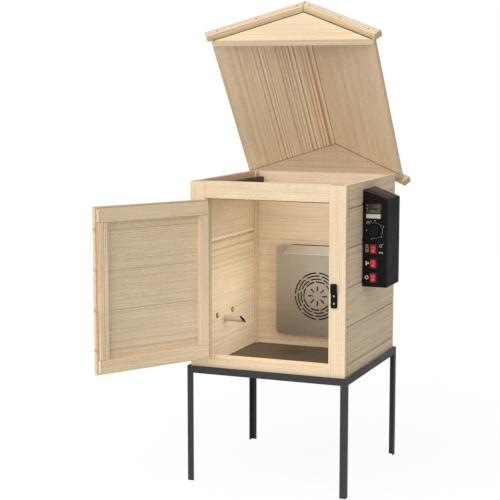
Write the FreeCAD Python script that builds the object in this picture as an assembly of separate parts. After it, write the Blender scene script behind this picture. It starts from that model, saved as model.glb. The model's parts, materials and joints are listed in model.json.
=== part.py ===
import FreeCAD, Part
import math
import os

# An electric smoking cabinet: tongue-and-groove boards on a welded angle-steel stand, with a rebated
# door, a gabled lid that tips back, a control box on the right wall, a ring heater and fan on the rear
# wall and a smoke canister on the left wall. The door stands open and the lid is tipped back.
# Millimetres: x to the right, y to the rear, z up, origin at the centre of the stand on the floor.

# Clearances
joint_play = 0.3
running_fit = 0.05
joinery_play = 0.15
cutout_play = 0.2

# Stand
angle_thickness = 3.0
ring_bottom = 352.0
ring_flange = 23.0
ring_gap = 6.2
leg_flange = 20.3
floor_thickness = 3.0
floor_margin = 3.0

# Cabinet of boards
cabinet_width = 512.0
cabinet_depth = 521.0
cabinet_height = 602.0
board = 18.0
board_pitch = 120.0
side_first_joint = 50.5
rear_first_joint = 101.5
tongue_width = 6.0
tongue_length = 6.0
groove_extra = 1.0
v_joint = 1.2
board_gap = 0.2

# Front frame and the rebate behind it
stile_width = 52.7
top_rail_height = 52.4
sill_height = 45.3
tenon_length = 25.0
tenon_thickness = 6.0
tenon_shoulder = 8.0
rebate_lip = 5.0
rear_post_width = 10.0
rear_post_depth = 16.5
rail_size = 20.0
rail_wall = 1.5
rail_drop = 18.5

# Door
door_open_angle = 120.0
door_side_gap = 1.7
door_bottom_gap = 2.7
door_proud = 0.5
door_board = 16.0
door_first_joint = 69.6
door_frame_thickness = 14.0
door_frame_inset = 4.7
door_rail_height = 40.5
door_stile_width = 31.5
door_pin_out = 2.2
door_pin_front = 6.5
door_hinge_heights = (110.0, 390.0)
door_hinge_length = 60.0
door_knuckle_radius = 6.0
door_pin_radius = 2.5
hinge_leaf = 1.6
door_leaf_width = 32.0
handle_inset = 36.6
handle_low = 99.0
handle_length = 100.0
handle_width = 16.0
handle_reach = 27.0
handle_bar = 4.0
handle_bend = 12.0
handle_foot = 16.0

# Latch
latch_height = 645.3
latch_over = 2.0
latch_reach = 105.0
latch_bar_height = 15.0
latch_bar_thickness = 2.5
latch_pin_radius = 3.0
latch_head_radius = 6.0
latch_head = 2.0
latch_plate = 1.5
latch_plate_half = 20.0
latch_stop_radius = 2.5
latch_stop_reach = 16.0
latch_knob_reach = 60.0
latch_knob_radius = 9.0
latch_knob_height = 16.0
latch_neck_radius = 4.5
latch_neck = 7.0
keeper_set_in = 6.7
keeper_width = 21.0
keeper_below = 57.3
keeper_step_below = 15.3
keeper_ramp = 7.0
keeper_above = 18.2
keeper_thickness = 3.0
keeper_corner = 5.0
keeper_screws_below = (43.1, 19.9)
keeper_hole_radius = 2.2

# Lid
lid_open_angle = 53.3
roof_pitch = 30.0
eave_overhang = 17.0
roof_board = 18.0
roof_joint = 121.0
gable_clearance = 3.0
gable_thickness = 22.0
barge_thickness = 20.0
barge_below = 1.6
barge_above = 27.4
barge_length = 326.2
mitre_gap = 0.3
lid_pin_play = 0.3
lid_pin_above = 4.7
lid_hinge_inset = 106.0
lid_hinge_length = 60.0
lid_knuckle_radius = 4.0
lid_pin_radius = 1.9
lid_leaf_down = 28.0
batten_thickness = 9.2
batten_inset = 51.0
batten_drop = 18.5
batten_height = 34.0

# Control box
sheet = 1.5
box_out = 79.5
box_front = -94.9
box_depth = 137.0
box_drop = 327.0
box_wall_height = 303.6
box_outer_height = 275.0
box_flange = 14.0
box_fold = 2.0
control_out = 35.7
bezel_up = 236.8
bezel_width = 49.0
bezel_height = 48.0
bezel_proud = 4.0
bezel_corner = 2.0
case_size = 44.5
case_depth = 60.0
lens_width = 46.0
lens_height = 28.0
lens_up = 7.8
lens_thickness = 1.2
key_down = 14.9
key_width = 10.8
key_height = 12.2
key_pitch = 11.6
key_thickness = 2.2
key_proud = 0.6
key_travel = 0.6
key_stem_radius = 1.5
key_stem_length = 6.0
dial_out = 40.0
dial_up = 177.3
dial_radius = 18.0
dial_grip_radius = 16.2
dial_skirt = 2.5
dial_height = 16.0
dial_gap = 0.6
dial_flutes = 10
dial_shaft_radius = 3.0
dial_shaft_back = 9.0
dial_nut_radius = 6.4
dial_nut = 2.5
dial_bush_radius = 4.5
dial_drum_radius = 8.5
dial_drum_length = 10.0
rocker_out = 36.7
rockers_up = (119.8, 74.4, 29.6)
rocker_width = 18.5
rocker_radius = 12.2
rocker_front = 4.5
rocker_back = 4.0
rocker_tilt = 9.0
rocker_pin_radius = 1.5
rocker_pin = 1.0
switch_width = 23.0
switch_height = 30.0
switch_flange = 2.0
switch_neck_width = 21.6
switch_neck_height = 27.6
switch_depth = 17.0
gland_out = 44.0
gland_up = 40.0
gland_thread_radius = 8.0
gland_hex_radius = 12.0
gland_bore_radius = 4.0
gland_length = 22.0

# Heater and fan
fan_up = 180.9
cover_off = 26.0
cover_half_width = 150.0
cover_below = 138.5
cover_above = 172.1
cover_corner = 15.0
cover_bend_above = 142.9
cover_bend_half = 126.0
cover_lip_half = 104.0
cover_lip_angle = 14.0
cover_stud_radius = 4.0
cover_stud_inset = 14.0
slot_radii = (80.0, 69.5, 59.0, 49.0)
slots_per_ring = 8
slot_turns = (0.0, 9.0, 17.0, 34.0)
slot_width = 4.8
slot_land_angle = 3.2
spoke_inner = 16.0
spoke_outer = 34.0
heater_radius = 95.0
heater_rod = 3.25
heater_bends = 24
heater_off = 11.5
heater_gap_angle = 7.0
heater_tail = 42.0
impeller_radius = 70.0
impeller_off = 18.5
impeller_width = 12.0
impeller_disc = 2.0
impeller_hub = 13.0
impeller_blades = 8
blade_thickness = 1.6
blade_lean = 28.0
shaft_radius = 4.0
shaft_hole_radius = 12.0
motor_radius = 35.0
motor_length = 42.0
motor_flange_half = 40.0
motor_flange = 2.0
motor_cover_half = 75.0
motor_cover_below = 108.9
motor_cover_above = 73.1
motor_cover_depth = 60.0
motor_cover_sheet = 1.2
motor_cover_tab = 12.0
vent_width = 5.0
vent_length = 80.0
vent_pitch = 14.0
probe_y = 20.0
probe_z = 720.0
probe_radius = 3.0
probe_inside = 60.0
probe_outside = 8.0
probe_nut_radius = 7.0
probe_nut = 5.0

# Smoke canister
smoke_y = -29.6
smoke_up = 131.4
smoke_tube_radius = 10.2
smoke_tube_wall = 1.5
smoke_tube_inside = 53.3
flange_half_length = 76.0
flange_up = 9.6
flange_half_height = 29.0
flange_thickness = 2.5
flange_corner = 8.0
smoke_bolt_up = 18.6
smoke_bolt_half = 63.35
smoke_bolt_radius = 3.0
smoke_bolt_head = 4.0
smoke_nut = 5.0
hex_radius = 5.8
canister_out = 62.0
canister_radius = 42.0
canister_wall = 1.5
canister_below = 102.6
canister_above = 100.6
grate_below = 37.4
grate_slot_half = 24.0
grate_rows = (-24.0, -12.0, 0.0, 12.0, 24.0)
cup_wall = 1.5
cup_floor = 1.5
cup_height = 38.0
cap_skirt = 10.0
cap_thickness = 1.5
cap_knob_radius = 9.0
cap_knob_height = 20.0
cap_neck_radius = 5.0
cap_neck = 9.0

# Worked out from the sizes above
half_x = cabinet_width / 2
half_y = cabinet_depth / 2
cabinet_bottom = ring_bottom + angle_thickness + floor_thickness
cabinet_top = cabinet_bottom + cabinet_height
inner_x = half_x - board
inner_y = half_y - board
frame_back = -inner_y
post_back = frame_back + board
opening_half = half_x - stile_width
opening_top = cabinet_top - top_rail_height
opening_bottom = cabinet_bottom + sill_height
lip_half = opening_half - rebate_lip
rear_post_y = inner_y - rear_post_depth
ring_x = half_x + ring_gap + angle_thickness
ring_y = half_y + ring_gap + angle_thickness
door_half = opening_half - door_side_gap
door_low = opening_bottom + door_bottom_gap
door_high = opening_top - door_side_gap
door_face = -half_y - door_proud
door_middle = door_face + door_board
door_back = door_middle + door_frame_thickness
door_pin_x = -opening_half - door_pin_out
door_pin_y = -half_y - door_pin_front
latch_bar_back = door_face - latch_plate - joint_play
latch_bar_front = latch_bar_back - latch_bar_thickness
slope = math.radians(roof_pitch)
lid_half = half_x + eave_overhang
lid_base = cabinet_top - eave_overhang * math.tan(slope) + joint_play
lid_ridge = lid_base + lid_half * math.tan(slope)
gable_inner = half_y + gable_clearance
gable_outer = gable_inner + gable_thickness
lid_hinge_x = half_x - lid_hinge_inset
batten_half_length = half_x - batten_inset
batten_top = cabinet_top - batten_drop
lid_pin_y = half_y + batten_thickness + lid_knuckle_radius + lid_pin_play
lid_pin_z = batten_top + lid_pin_above
handle_x = door_half - handle_inset
keeper_left = opening_half + keeper_set_in
keeper_bottom = latch_height - keeper_below
keeper_step = latch_height - keeper_step_below
keeper_top = latch_height + keeper_above
keeper_screws = [latch_height - below for below in keeper_screws_below]
latch_x = keeper_left + keeper_width + latch_over - latch_reach
box_outer = half_x + box_out
box_back = box_front + box_depth
box_bottom = cabinet_top - box_drop
box_wall_top = box_bottom + box_wall_height
box_outer_top = box_bottom + box_outer_height
control_x = half_x + control_out
bezel_z = box_bottom + bezel_up
lens_z = bezel_z + lens_up
key_z = bezel_z - key_down
dial_x = half_x + dial_out
dial_z = box_bottom + dial_up
rocker_x = half_x + rocker_out
rocker_heights = [box_bottom + up for up in rockers_up]
gland_x = half_x + gland_out
gland_z = box_bottom + gland_up
fan_z = cabinet_bottom + fan_up
cover_face = inner_y - cover_off
cover_bottom = fan_z - cover_below
cover_top = fan_z + cover_above
cover_bend_z = fan_z + cover_bend_above
heater_y = inner_y - heater_off
impeller_front = inner_y - impeller_off
motor_cover_bottom = fan_z - motor_cover_below
motor_cover_top = fan_z + motor_cover_above
smoke_z = cabinet_bottom + smoke_up
smoke_tube_top_end = -inner_x + smoke_tube_inside
flange_z = smoke_z + flange_up
smoke_bolt_z = smoke_z + smoke_bolt_up
canister_x = -half_x - canister_out
canister_bottom = smoke_z - canister_below
canister_top = smoke_z + canister_above
grate_z = smoke_z - grate_below

across = FreeCAD.Vector(1, 0, 0)
rearward = FreeCAD.Vector(0, 1, 0)
upward = FreeCAD.Vector(0, 0, 1)


def at(x, y, z):
    return FreeCAD.Vector(x, y, z)


def block(x0, x1, y0, y1, z0, z1):
    return Part.makeBox(x1 - x0, y1 - y0, z1 - z0, at(x0, y0, z0))


def rod(radius, start, end):
    line = end - start
    return Part.makeCylinder(radius, line.Length, start, line)


def prism(points, run):
    outline = Part.makePolygon(points + [points[0]])
    return Part.Face(outline).extrude(run)


def hexagon(radius, start, end):
    line = end - start
    turn = FreeCAD.Rotation(upward, line)
    corners = []
    for step in range(6):
        angle = math.radians(60 * step)
        corner = at(radius * math.cos(angle), radius * math.sin(angle), 0)
        corners.append(start + turn.multVec(corner))
    return prism(corners, line)


def spun(points, start, direction):
    """Turn a profile of (radius, distance) points about a line."""
    outline = Part.makePolygon([at(r, 0, h) for r, h in points + [points[0]]])
    solid = Part.Face(outline).revolve(at(0, 0, 0), upward, 360)
    solid.Placement = FreeCAD.Placement(start, FreeCAD.Rotation(upward, direction))
    return solid


def mirrored(shape):
    return shape.mirror(at(0, 0, 0), across)


def both_sides(shape):
    return [shape, mirrored(shape)]


def rounded(shape, radius, chosen):
    edges = [edge for edge in shape.Edges if chosen(edge)]
    return shape.makeFillet(radius, edges)


def joint_levels(low, high, first, pitch):
    levels = [low]
    level = low + first
    while level < high:
        levels.append(level)
        level += pitch
    return levels + [high]


def tongued_board(low, high, thickness, grooved, tongued):
    """Section of one board as (distance from its inner face, height) points."""
    half = tongue_width / 2
    middle = thickness / 2
    points = [(0, low)]
    if grooved:
        depth = tongue_length + groove_extra
        points += [(middle - half - joinery_play, low), (middle - half - joinery_play, low + depth)]
        points += [(middle + half + joinery_play, low + depth), (middle + half + joinery_play, low)]
        points += [(thickness - v_joint, low), (thickness, low + v_joint)]
    else:
        points += [(thickness, low)]
    if tongued:
        shoulder = high - board_gap
        points += [(thickness, shoulder - v_joint), (thickness - v_joint, shoulder)]
        points += [(middle + half, shoulder), (middle + half, high + tongue_length)]
        points += [(middle - half, high + tongue_length), (middle - half, shoulder), (0, shoulder)]
    else:
        points += [(thickness, high), (0, high)]
    return points


def boarding(levels, thickness, origin, out, up, run):
    """Stack boards whose tongues stand in the grooves of the boards above."""
    boards = []
    last = len(levels) - 2
    for index in range(last + 1):
        section = tongued_board(levels[index], levels[index + 1], thickness, index > 0, index < last)
        boards.append(prism([origin + out * t + up * h for t, h in section], run))
    return boards


def hinge(middle, axis, length, knuckle, pin_radius, end_leaf, middle_leaf):
    """Give one leaf the two end knuckles, the other the middle one, and join them with a pin."""
    start = middle - axis * (length / 2)
    third = length / 3
    stations = [start + axis * (third * step) for step in range(4)]
    gap = axis * joint_play
    ends = [rod(knuckle, stations[0], stations[1]), rod(knuckle, stations[2], stations[3])]
    centre = rod(knuckle, stations[1] + gap, stations[2] - gap)
    clear_ends = [rod(knuckle + joint_play, stations[0], stations[1] + gap)]
    clear_ends += [rod(knuckle + joint_play, stations[2] - gap, stations[3])]
    clear_centre = rod(knuckle + joint_play, stations[1], stations[2])
    bore = rod(pin_radius + running_fit, stations[0] - axis, stations[3] + axis)
    fixed = end_leaf.cut(clear_centre).fuse(ends).cut(bore)
    moving = middle_leaf.cut(clear_ends[0]).cut(clear_ends[1]).fuse(centre).cut(bore)
    cap = axis * pin_radius
    pin = rod(pin_radius, stations[0] - cap, stations[3])
    pin = pin.fuse(rod(knuckle * 0.8, stations[3], stations[3] + cap))
    return fixed, moving, pin


def door_turned(shape):
    turned = shape.copy()
    turned.rotate(at(door_pin_x, door_pin_y, 0), upward, -door_open_angle)
    return turned


def lid_tipped(shape):
    tipped = shape.copy()
    tipped.rotate(at(0, lid_pin_y, lid_pin_z), across, -lid_open_angle)
    return tipped


# Stand

def ring_bar(half_long, edge):
    """One mitred angle along the front of a ring whose outer edge stands at -edge."""
    flat_in = edge - ring_flange
    wall_in = edge - angle_thickness
    flat = [at(-half_long, -edge, ring_bottom), at(half_long, -edge, ring_bottom)]
    flat += [at(half_long - ring_flange, -flat_in, ring_bottom)]
    flat += [at(-half_long + ring_flange, -flat_in, ring_bottom)]
    wall = [at(-half_long, -edge, ring_bottom), at(half_long, -edge, ring_bottom)]
    wall += [at(half_long - angle_thickness, -wall_in, ring_bottom)]
    wall += [at(-half_long + angle_thickness, -wall_in, ring_bottom)]
    flat_leg = prism(flat, upward * angle_thickness)
    return flat_leg.fuse(prism(wall, upward * ring_flange))


def stand_ring():
    front = ring_bar(ring_x, ring_y)
    rear = front.mirror(at(0, 0, 0), rearward)
    side = ring_bar(ring_y, ring_x)
    side.rotate(at(0, 0, 0), upward, 90)
    return front.fuse([rear, side, mirrored(side)]).removeSplitter()


def leg(side_x, side_y):
    corner = [(0, 0), (leg_flange, 0), (leg_flange, angle_thickness), (angle_thickness, angle_thickness)]
    corner += [(angle_thickness, leg_flange), (0, leg_flange)]
    points = [at(side_x * (ring_x - a), side_y * (ring_y - b), 0) for a, b in corner]
    return prism(points, upward * ring_bottom)


def floor_plate():
    low = ring_bottom + angle_thickness
    x = half_x - floor_margin
    y = half_y - floor_margin
    return block(-x, x, -y, y, low, low + floor_thickness)


# Front frame, posts and walls

def rail_tenons(low, high, play):
    """The two tenons of a rail, or with play their mortises in the stiles."""
    middle = (-half_y + frame_back) / 2
    half = tenon_thickness / 2 + play
    y0 = middle - half
    y1 = middle + half
    tenon = block(opening_half, opening_half + tenon_length + play, y0, y1,
                  low + tenon_shoulder - play, high - tenon_shoulder + play)
    return both_sides(tenon)


def frame_rail(low, high):
    rail = block(-opening_half, opening_half, -half_y, frame_back, low, high)
    return rail.fuse(rail_tenons(low, high, 0)).removeSplitter()


def stile_right():
    stile = block(opening_half, half_x, -half_y, frame_back, cabinet_bottom, cabinet_top)
    for mortise in rail_tenons(cabinet_bottom, opening_bottom, joinery_play):
        stile = stile.cut(mortise)
    for mortise in rail_tenons(opening_top, cabinet_top, joinery_play):
        stile = stile.cut(mortise)
    return stile


def corner_posts():
    front = block(lip_half, inner_x, frame_back, post_back, cabinet_bottom, cabinet_top)
    rear = block(inner_x - rear_post_width, inner_x, rear_post_y, inner_y, cabinet_bottom, cabinet_top)
    return both_sides(front) + both_sides(rear)


def stop_rails():
    low = block(-lip_half, lip_half, frame_back, post_back, cabinet_bottom, opening_bottom + rebate_lip)
    high = block(-lip_half, lip_half, frame_back, post_back, opening_top - rebate_lip, cabinet_top)
    return [low, high]


def side_boards():
    levels = joint_levels(cabinet_bottom, cabinet_top, side_first_joint, board_pitch)
    origin = at(inner_x, frame_back, 0)
    return boarding(levels, board, origin, across, upward, rearward * (inner_y - frame_back))


def smoke_bolt_places():
    return [smoke_y - smoke_bolt_half, smoke_y + smoke_bolt_half]


def wall_boards_left():
    through = [rod(smoke_tube_radius + cutout_play, at(-half_x - 5, smoke_y, smoke_z),
                   at(-inner_x + 5, smoke_y, smoke_z))]
    for y in smoke_bolt_places():
        through.append(rod(smoke_bolt_radius + cutout_play, at(-half_x - 5, y, smoke_bolt_z),
                           at(-inner_x + 5, y, smoke_bolt_z)))
    return [mirrored(plank).cut(through) for plank in side_boards()]


def wall_boards_right():
    hole = rod(probe_radius + cutout_play, at(inner_x - 5, probe_y, probe_z),
               at(half_x + 5, probe_y, probe_z))
    return [plank.cut(hole) for plank in side_boards()]


def heater_ends():
    spread = math.radians(heater_gap_angle)
    x = heater_radius * math.sin(spread)
    z = fan_z - heater_radius * math.cos(spread)
    return [(-x, z), (x, z)]


def wall_boards_rear():
    levels = joint_levels(cabinet_bottom, cabinet_top, rear_first_joint, board_pitch)
    origin = at(-half_x, inner_y, 0)
    holes = [rod(shaft_hole_radius, at(0, inner_y - 5, fan_z), at(0, half_y + 5, fan_z))]
    for x, z in heater_ends():
        holes.append(rod(heater_rod + cutout_play, at(x, inner_y - 5, z), at(x, half_y + 5, z)))
    planks = boarding(levels, board, origin, rearward, upward, across * cabinet_width)
    return [plank.cut(holes) for plank in planks]


def hanging_rails():
    high = cabinet_top - rail_drop
    low = high - rail_size
    outer = inner_x - rear_post_width
    tube = block(outer - rail_size, outer, post_back, inner_y, low, high)
    hollow = block(outer - rail_size + rail_wall, outer - rail_wall, post_back, inner_y,
                   low + rail_wall, high - rail_wall)
    return both_sides(tube.cut(hollow))


# Door, built shut and turned open

def door_boards():
    levels = joint_levels(door_low, door_high, door_first_joint, board_pitch)
    origin = at(-door_half, door_middle, 0)
    return boarding(levels, door_board, origin, -rearward, upward, across * (2 * door_half))


def door_rails():
    x = door_half - door_frame_inset
    low = door_low + door_frame_inset
    high = door_high - door_frame_inset
    bottom = block(-x, x, door_middle, door_back, low, low + door_rail_height)
    top = block(-x, x, door_middle, door_back, high - door_rail_height, high)
    return [bottom, top]


def door_stiles():
    x = door_half - door_frame_inset
    low = door_low + door_frame_inset + door_rail_height
    high = door_high - door_frame_inset - door_rail_height
    return both_sides(block(x - door_stile_width, x, door_middle, door_back, low, high))


def door_handle():
    """A flat bar bent to a bow, its two feet screwed to the door."""
    near = handle_x - handle_width / 2
    far = handle_x + handle_width / 2
    low = door_low + handle_low
    high = low + handle_length
    out = door_face - handle_reach
    bow = block(near, far, out, door_face, low, high)
    bow = rounded(bow, handle_bend,
                  lambda edge: edge.BoundBox.YMax < out + 0.01 and edge.BoundBox.XLength > 1)
    hollow = block(near - 1, far + 1, out + handle_bar, door_face + 1, low + handle_bar, high - handle_bar)
    hollow = rounded(hollow, handle_bend - handle_bar,
                     lambda edge: edge.BoundBox.YMax < out + handle_bar + 0.01 and edge.BoundBox.XLength > 1)
    feet = [block(near, far, door_face - handle_bar, door_face, low - handle_foot, low + handle_bar)]
    feet.append(block(near, far, door_face - handle_bar, door_face, high - handle_bar, high + handle_foot))
    return bow.cut(hollow).fuse(feet).removeSplitter()


def door_hinge(height):
    """Frame leaf, door leaf and pin of one butt hinge at this height above the door's foot."""
    z = door_low + height
    half = door_hinge_length / 2
    left = door_pin_x - door_leaf_width
    right = door_pin_x + door_leaf_width
    frame_leaf = block(left, door_pin_x, -half_y - hinge_leaf, -half_y, z - half, z + half)
    door_leaf = block(door_pin_x, right, door_face - hinge_leaf, door_face, z - half, z + half)
    return hinge(at(door_pin_x, door_pin_y, z), upward, door_hinge_length, door_knuckle_radius,
                 door_pin_radius, frame_leaf, door_leaf)


# Latch: a swinging bar on the door drops behind the keeper's raised tongue

def latch_pivot_plate():
    plate = block(latch_x - latch_plate_half, latch_x + latch_plate_half, door_face - latch_plate, door_face,
                  latch_height - latch_plate_half, latch_height + latch_plate_half)
    plate = rounded(plate, 4.0, lambda edge: abs(edge.tangentAt(edge.FirstParameter).y) > 0.99)
    face = door_face - latch_plate
    head = latch_bar_front - joint_play
    top = head - latch_head
    pin = rod(latch_pin_radius, at(latch_x, face, latch_height), at(latch_x, top, latch_height))
    cap = rod(latch_head_radius, at(latch_x, head, latch_height), at(latch_x, top, latch_height))
    stop_z = latch_height - latch_bar_height / 2 - joint_play - latch_stop_radius
    stop_x = latch_x + latch_stop_reach
    stop = rod(latch_stop_radius, at(stop_x, face, stop_z), at(stop_x, latch_bar_front, stop_z))
    return plate.fuse([pin, cap, stop])


def latch_bar():
    """Bar with round ends, raised upright on its pivot, with a turned knob."""
    half = latch_bar_height / 2
    top = latch_height + latch_reach - half
    bar = block(latch_x - half, latch_x + half, latch_bar_front, latch_bar_back, latch_height, top)
    tail = rod(half, at(latch_x, latch_bar_front, latch_height), at(latch_x, latch_bar_back, latch_height))
    tip = rod(half, at(latch_x, latch_bar_front, top), at(latch_x, latch_bar_back, top))
    knob = [(0, 0), (latch_neck_radius, 0), (latch_neck_radius, latch_neck), (latch_knob_radius, latch_neck)]
    knob += [(latch_knob_radius, latch_knob_height), (0, latch_knob_height)]
    grip = spun(knob, at(latch_x, latch_bar_front, latch_height + latch_knob_reach), -rearward)
    bore = rod(latch_pin_radius + running_fit, at(latch_x, latch_bar_front - 1, latch_height),
               at(latch_x, latch_bar_back + 1, latch_height))
    return bar.fuse([tail, tip, grip]).cut(bore).removeSplitter()


def latch_keeper():
    face = -half_y
    out = latch_bar_front - joint_play * 2
    deep = keeper_thickness
    side = [(face, keeper_bottom), (face - deep, keeper_bottom), (face - deep, keeper_step)]
    side += [(out - deep, keeper_step + keeper_ramp), (out - deep, keeper_top), (out, keeper_top)]
    side += [(out, keeper_step + keeper_ramp), (face, keeper_step)]
    keeper = prism([at(keeper_left, y, z) for y, z in side], across * keeper_width)
    for z in keeper_screws:
        middle = keeper_left + keeper_width / 2
        keeper = keeper.cut(rod(keeper_hole_radius, at(middle, face + 5, z), at(middle, face - deep - 5, z)))
    return rounded(keeper, keeper_corner, lambda edge: abs(edge.Length - deep) < 0.01
                   and edge.BoundBox.YLength > deep - 0.01
                   and (edge.BoundBox.ZMin > keeper_top - 0.01 or edge.BoundBox.ZMax < keeper_bottom + 0.01))


# Lid, built shut and tipped back

def slope_point(side, along, out, y):
    """A point measured down the roof's inner face from the ridge, and out from that face."""
    x = along * math.cos(slope) + out * math.sin(slope)
    z = lid_ridge - along * math.sin(slope) + out * math.cos(slope)
    return at(side * x, y, z)


def roof_boards(side):
    rise = roof_board / math.cos(slope)
    outline = [at(0, -gable_outer, lid_ridge), at(0, -gable_outer, lid_ridge + rise)]
    outline.append(at(side * lid_half, -gable_outer, lid_base + rise))
    outline.append(at(side * lid_half, -gable_outer, lid_base))
    slab = prism(outline, rearward * (2 * gable_outer))
    down = lid_half / math.cos(slope)
    out = at(side * math.sin(slope), 0, math.cos(slope))
    up = at(-side * math.cos(slope), 0, math.sin(slope))
    levels = [-down - roof_board, -roof_joint, roof_board]
    length = rearward * (2 * gable_outer)
    planks = boarding(levels, roof_board, at(0, -gable_outer, lid_ridge), out, up, length)
    return [plank.common(slab) for plank in planks]


def gable(y):
    outline = [at(-lid_half, y, lid_base), at(lid_half, y, lid_base), at(0, y, lid_ridge)]
    return prism(outline, rearward * gable_thickness)


def bargeboard(side, y):
    mitre = math.tan(slope)
    open_up = mitre_gap / 2 / math.cos(slope)
    corners = [(open_up + barge_below * mitre, -barge_below), (open_up - barge_above * mitre, barge_above)]
    corners += [(barge_length, barge_above), (barge_length, -barge_below)]
    points = [slope_point(side, along, out, y) for along, out in corners]
    return prism(points, rearward * barge_thickness)


def bargeboards():
    fronts = [bargeboard(side, -gable_outer - barge_thickness) for side in (-1, 1)]
    rears = [bargeboard(side, gable_outer) for side in (-1, 1)]
    return fronts + rears


def lid_hinge(x):
    """Back leaf on the batten, lid leaf under the gable, and the pin."""
    half = lid_hinge_length / 2
    wall = half_y + batten_thickness
    back_leaf = block(x - half, x + half, wall, wall + hinge_leaf, lid_pin_z - lid_leaf_down, lid_pin_z)
    lid_leaf = block(x - half, x + half, lid_pin_y, gable_outer, lid_base - hinge_leaf, lid_base)
    return hinge(at(x, lid_pin_y, lid_pin_z), across, lid_hinge_length, lid_knuckle_radius, lid_pin_radius,
                 back_leaf, lid_leaf)


def hinge_batten():
    return block(-batten_half_length, batten_half_length, half_y, half_y + batten_thickness,
                 batten_top - batten_height, batten_top)


# Control box and its controls

def box_top(x):
    fall = (box_wall_top - box_outer_top) / box_out
    return box_wall_top - (x - half_x) * fall


def front_cut(x, z, width, height):
    return block(x - width / 2, x + width / 2, box_front - 5, box_front + 5, z - height / 2, z + height / 2)


def control_box():
    outline = [(half_x, box_bottom), (box_outer, box_bottom), (box_outer, box_outer_top),
               (half_x, box_wall_top)]
    shell = prism([at(x, box_front, z) for x, z in outline], rearward * box_depth)
    shell = rounded(shell, box_fold, lambda edge: edge.BoundBox.XMax > half_x + 1)
    fall = (box_wall_top - box_outer_top) / box_out
    drop = sheet * math.sqrt(1 + fall * fall)
    left = half_x + sheet
    right = box_outer - sheet
    hollow = [(left, box_bottom + sheet), (right, box_bottom + sheet)]
    hollow += [(right, box_top(right) - drop), (left, box_top(left) - drop)]
    corners = [at(x, box_front + sheet, z) for x, z in hollow]
    shell = shell.cut(prism(corners, rearward * (box_depth - 2 * sheet)))
    shell = shell.cut(block(half_x - 1, left + 1, box_front + box_flange, box_back - box_flange,
                            box_bottom + box_flange, box_wall_top - box_flange - sheet))
    cuts = [front_cut(control_x, bezel_z, case_size + 2 * cutout_play, case_size + 2 * cutout_play)]
    for z in rocker_heights:
        cuts.append(front_cut(rocker_x, z, switch_neck_width + 2 * cutout_play,
                              switch_neck_height + 2 * cutout_play))
    cuts.append(rod(dial_bush_radius + cutout_play, at(dial_x, box_front - 5, dial_z),
                    at(dial_x, box_front + 5, dial_z)))
    cuts.append(rod(gland_thread_radius + cutout_play, at(gland_x, box_back - 5, gland_z),
                    at(gland_x, box_back + 5, gland_z)))
    return shell.cut(cuts)


def key_places():
    return [control_x + key_pitch * (step - 1.5) for step in range(4)]


def controller_case():
    """Bezel in front of the panel, case behind it, with recesses for the lens and the keys."""
    face = box_front - bezel_proud
    x0 = control_x - bezel_width / 2
    bezel = block(x0, x0 + bezel_width, face, box_front, bezel_z - bezel_height / 2,
                  bezel_z + bezel_height / 2)
    bezel = rounded(bezel, bezel_corner, lambda edge: abs(edge.tangentAt(edge.FirstParameter).y) > 0.99)
    half = case_size / 2
    body = block(control_x - half, control_x + half, box_front, box_front + case_depth,
                 bezel_z - half, bezel_z + half)
    case = bezel.fuse(body)
    case = case.cut(block(control_x - lens_width / 2 - cutout_play, control_x + lens_width / 2 + cutout_play,
                          face - 1, face + lens_thickness, lens_z - lens_height / 2 - cutout_play,
                          lens_z + lens_height / 2 + cutout_play))
    reach = key_pitch * 1.5 + key_width / 2 + joint_play
    depth = key_thickness - key_proud + key_travel + running_fit * 2
    case = case.cut(block(control_x - reach, control_x + reach, face - 1, face + depth,
                          key_z - key_height / 2 - joint_play, key_z + key_height / 2 + joint_play))
    for x in key_places():
        case = case.cut(rod(key_stem_radius + running_fit, at(x, face, key_z),
                            at(x, face + depth + key_stem_length + key_travel, key_z)))
    return case


def controller_lens():
    face = box_front - bezel_proud
    return block(control_x - lens_width / 2, control_x + lens_width / 2, face, face + lens_thickness,
                 lens_z - lens_height / 2, lens_z + lens_height / 2)


def key(x):
    front = box_front - bezel_proud - key_proud
    cap = block(x - key_width / 2, x + key_width / 2, front, front + key_thickness,
                key_z - key_height / 2, key_z + key_height / 2)
    cap = rounded(cap, 0.6, lambda edge: edge.BoundBox.YMax < front + 0.01)
    back = front + key_thickness
    return cap.fuse(rod(key_stem_radius, at(x, back, key_z), at(x, back + key_stem_length, key_z)))


def dial_knob():
    """Skirted knob with a fluted grip and a pointer groove, hollow behind to clear the nut."""
    base = box_front - dial_gap
    side = [(0, 0), (dial_radius, 0), (dial_radius, dial_skirt), (dial_grip_radius, dial_skirt)]
    side += [(dial_grip_radius, dial_height), (0, dial_height)]
    knob = spun(side, at(dial_x, base, dial_z), -rearward)
    flutes = []
    for step in range(dial_flutes):
        angle = 2 * math.pi * (step + 0.5) / dial_flutes
        x = dial_x + (dial_grip_radius + 1) * math.cos(angle)
        z = dial_z + (dial_grip_radius + 1) * math.sin(angle)
        flutes.append(rod(2.4, at(x, base - dial_skirt, z), at(x, base - dial_height - 1, z)))
    knob = knob.cut(flutes)
    back = dial_nut + 1
    knob = knob.cut(rod(dial_nut_radius + 1, at(dial_x, base + 1, dial_z), at(dial_x, base - back, dial_z)))
    shaft_end = base - dial_height + 4
    knob = knob.cut(rod(dial_shaft_radius + running_fit, at(dial_x, base, dial_z),
                        at(dial_x, shaft_end, dial_z)))
    face = base - dial_height
    pointer = block(dial_x - 0.6, dial_x + 0.6, face - 1, face + 0.8, dial_z + 5, dial_z + dial_radius)
    return knob.cut(pointer)


def dial_shaft():
    front = box_front - dial_gap - dial_height + 4 + running_fit
    return rod(dial_shaft_radius, at(dial_x, front, dial_z), at(dial_x, box_front + dial_shaft_back, dial_z))


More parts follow.
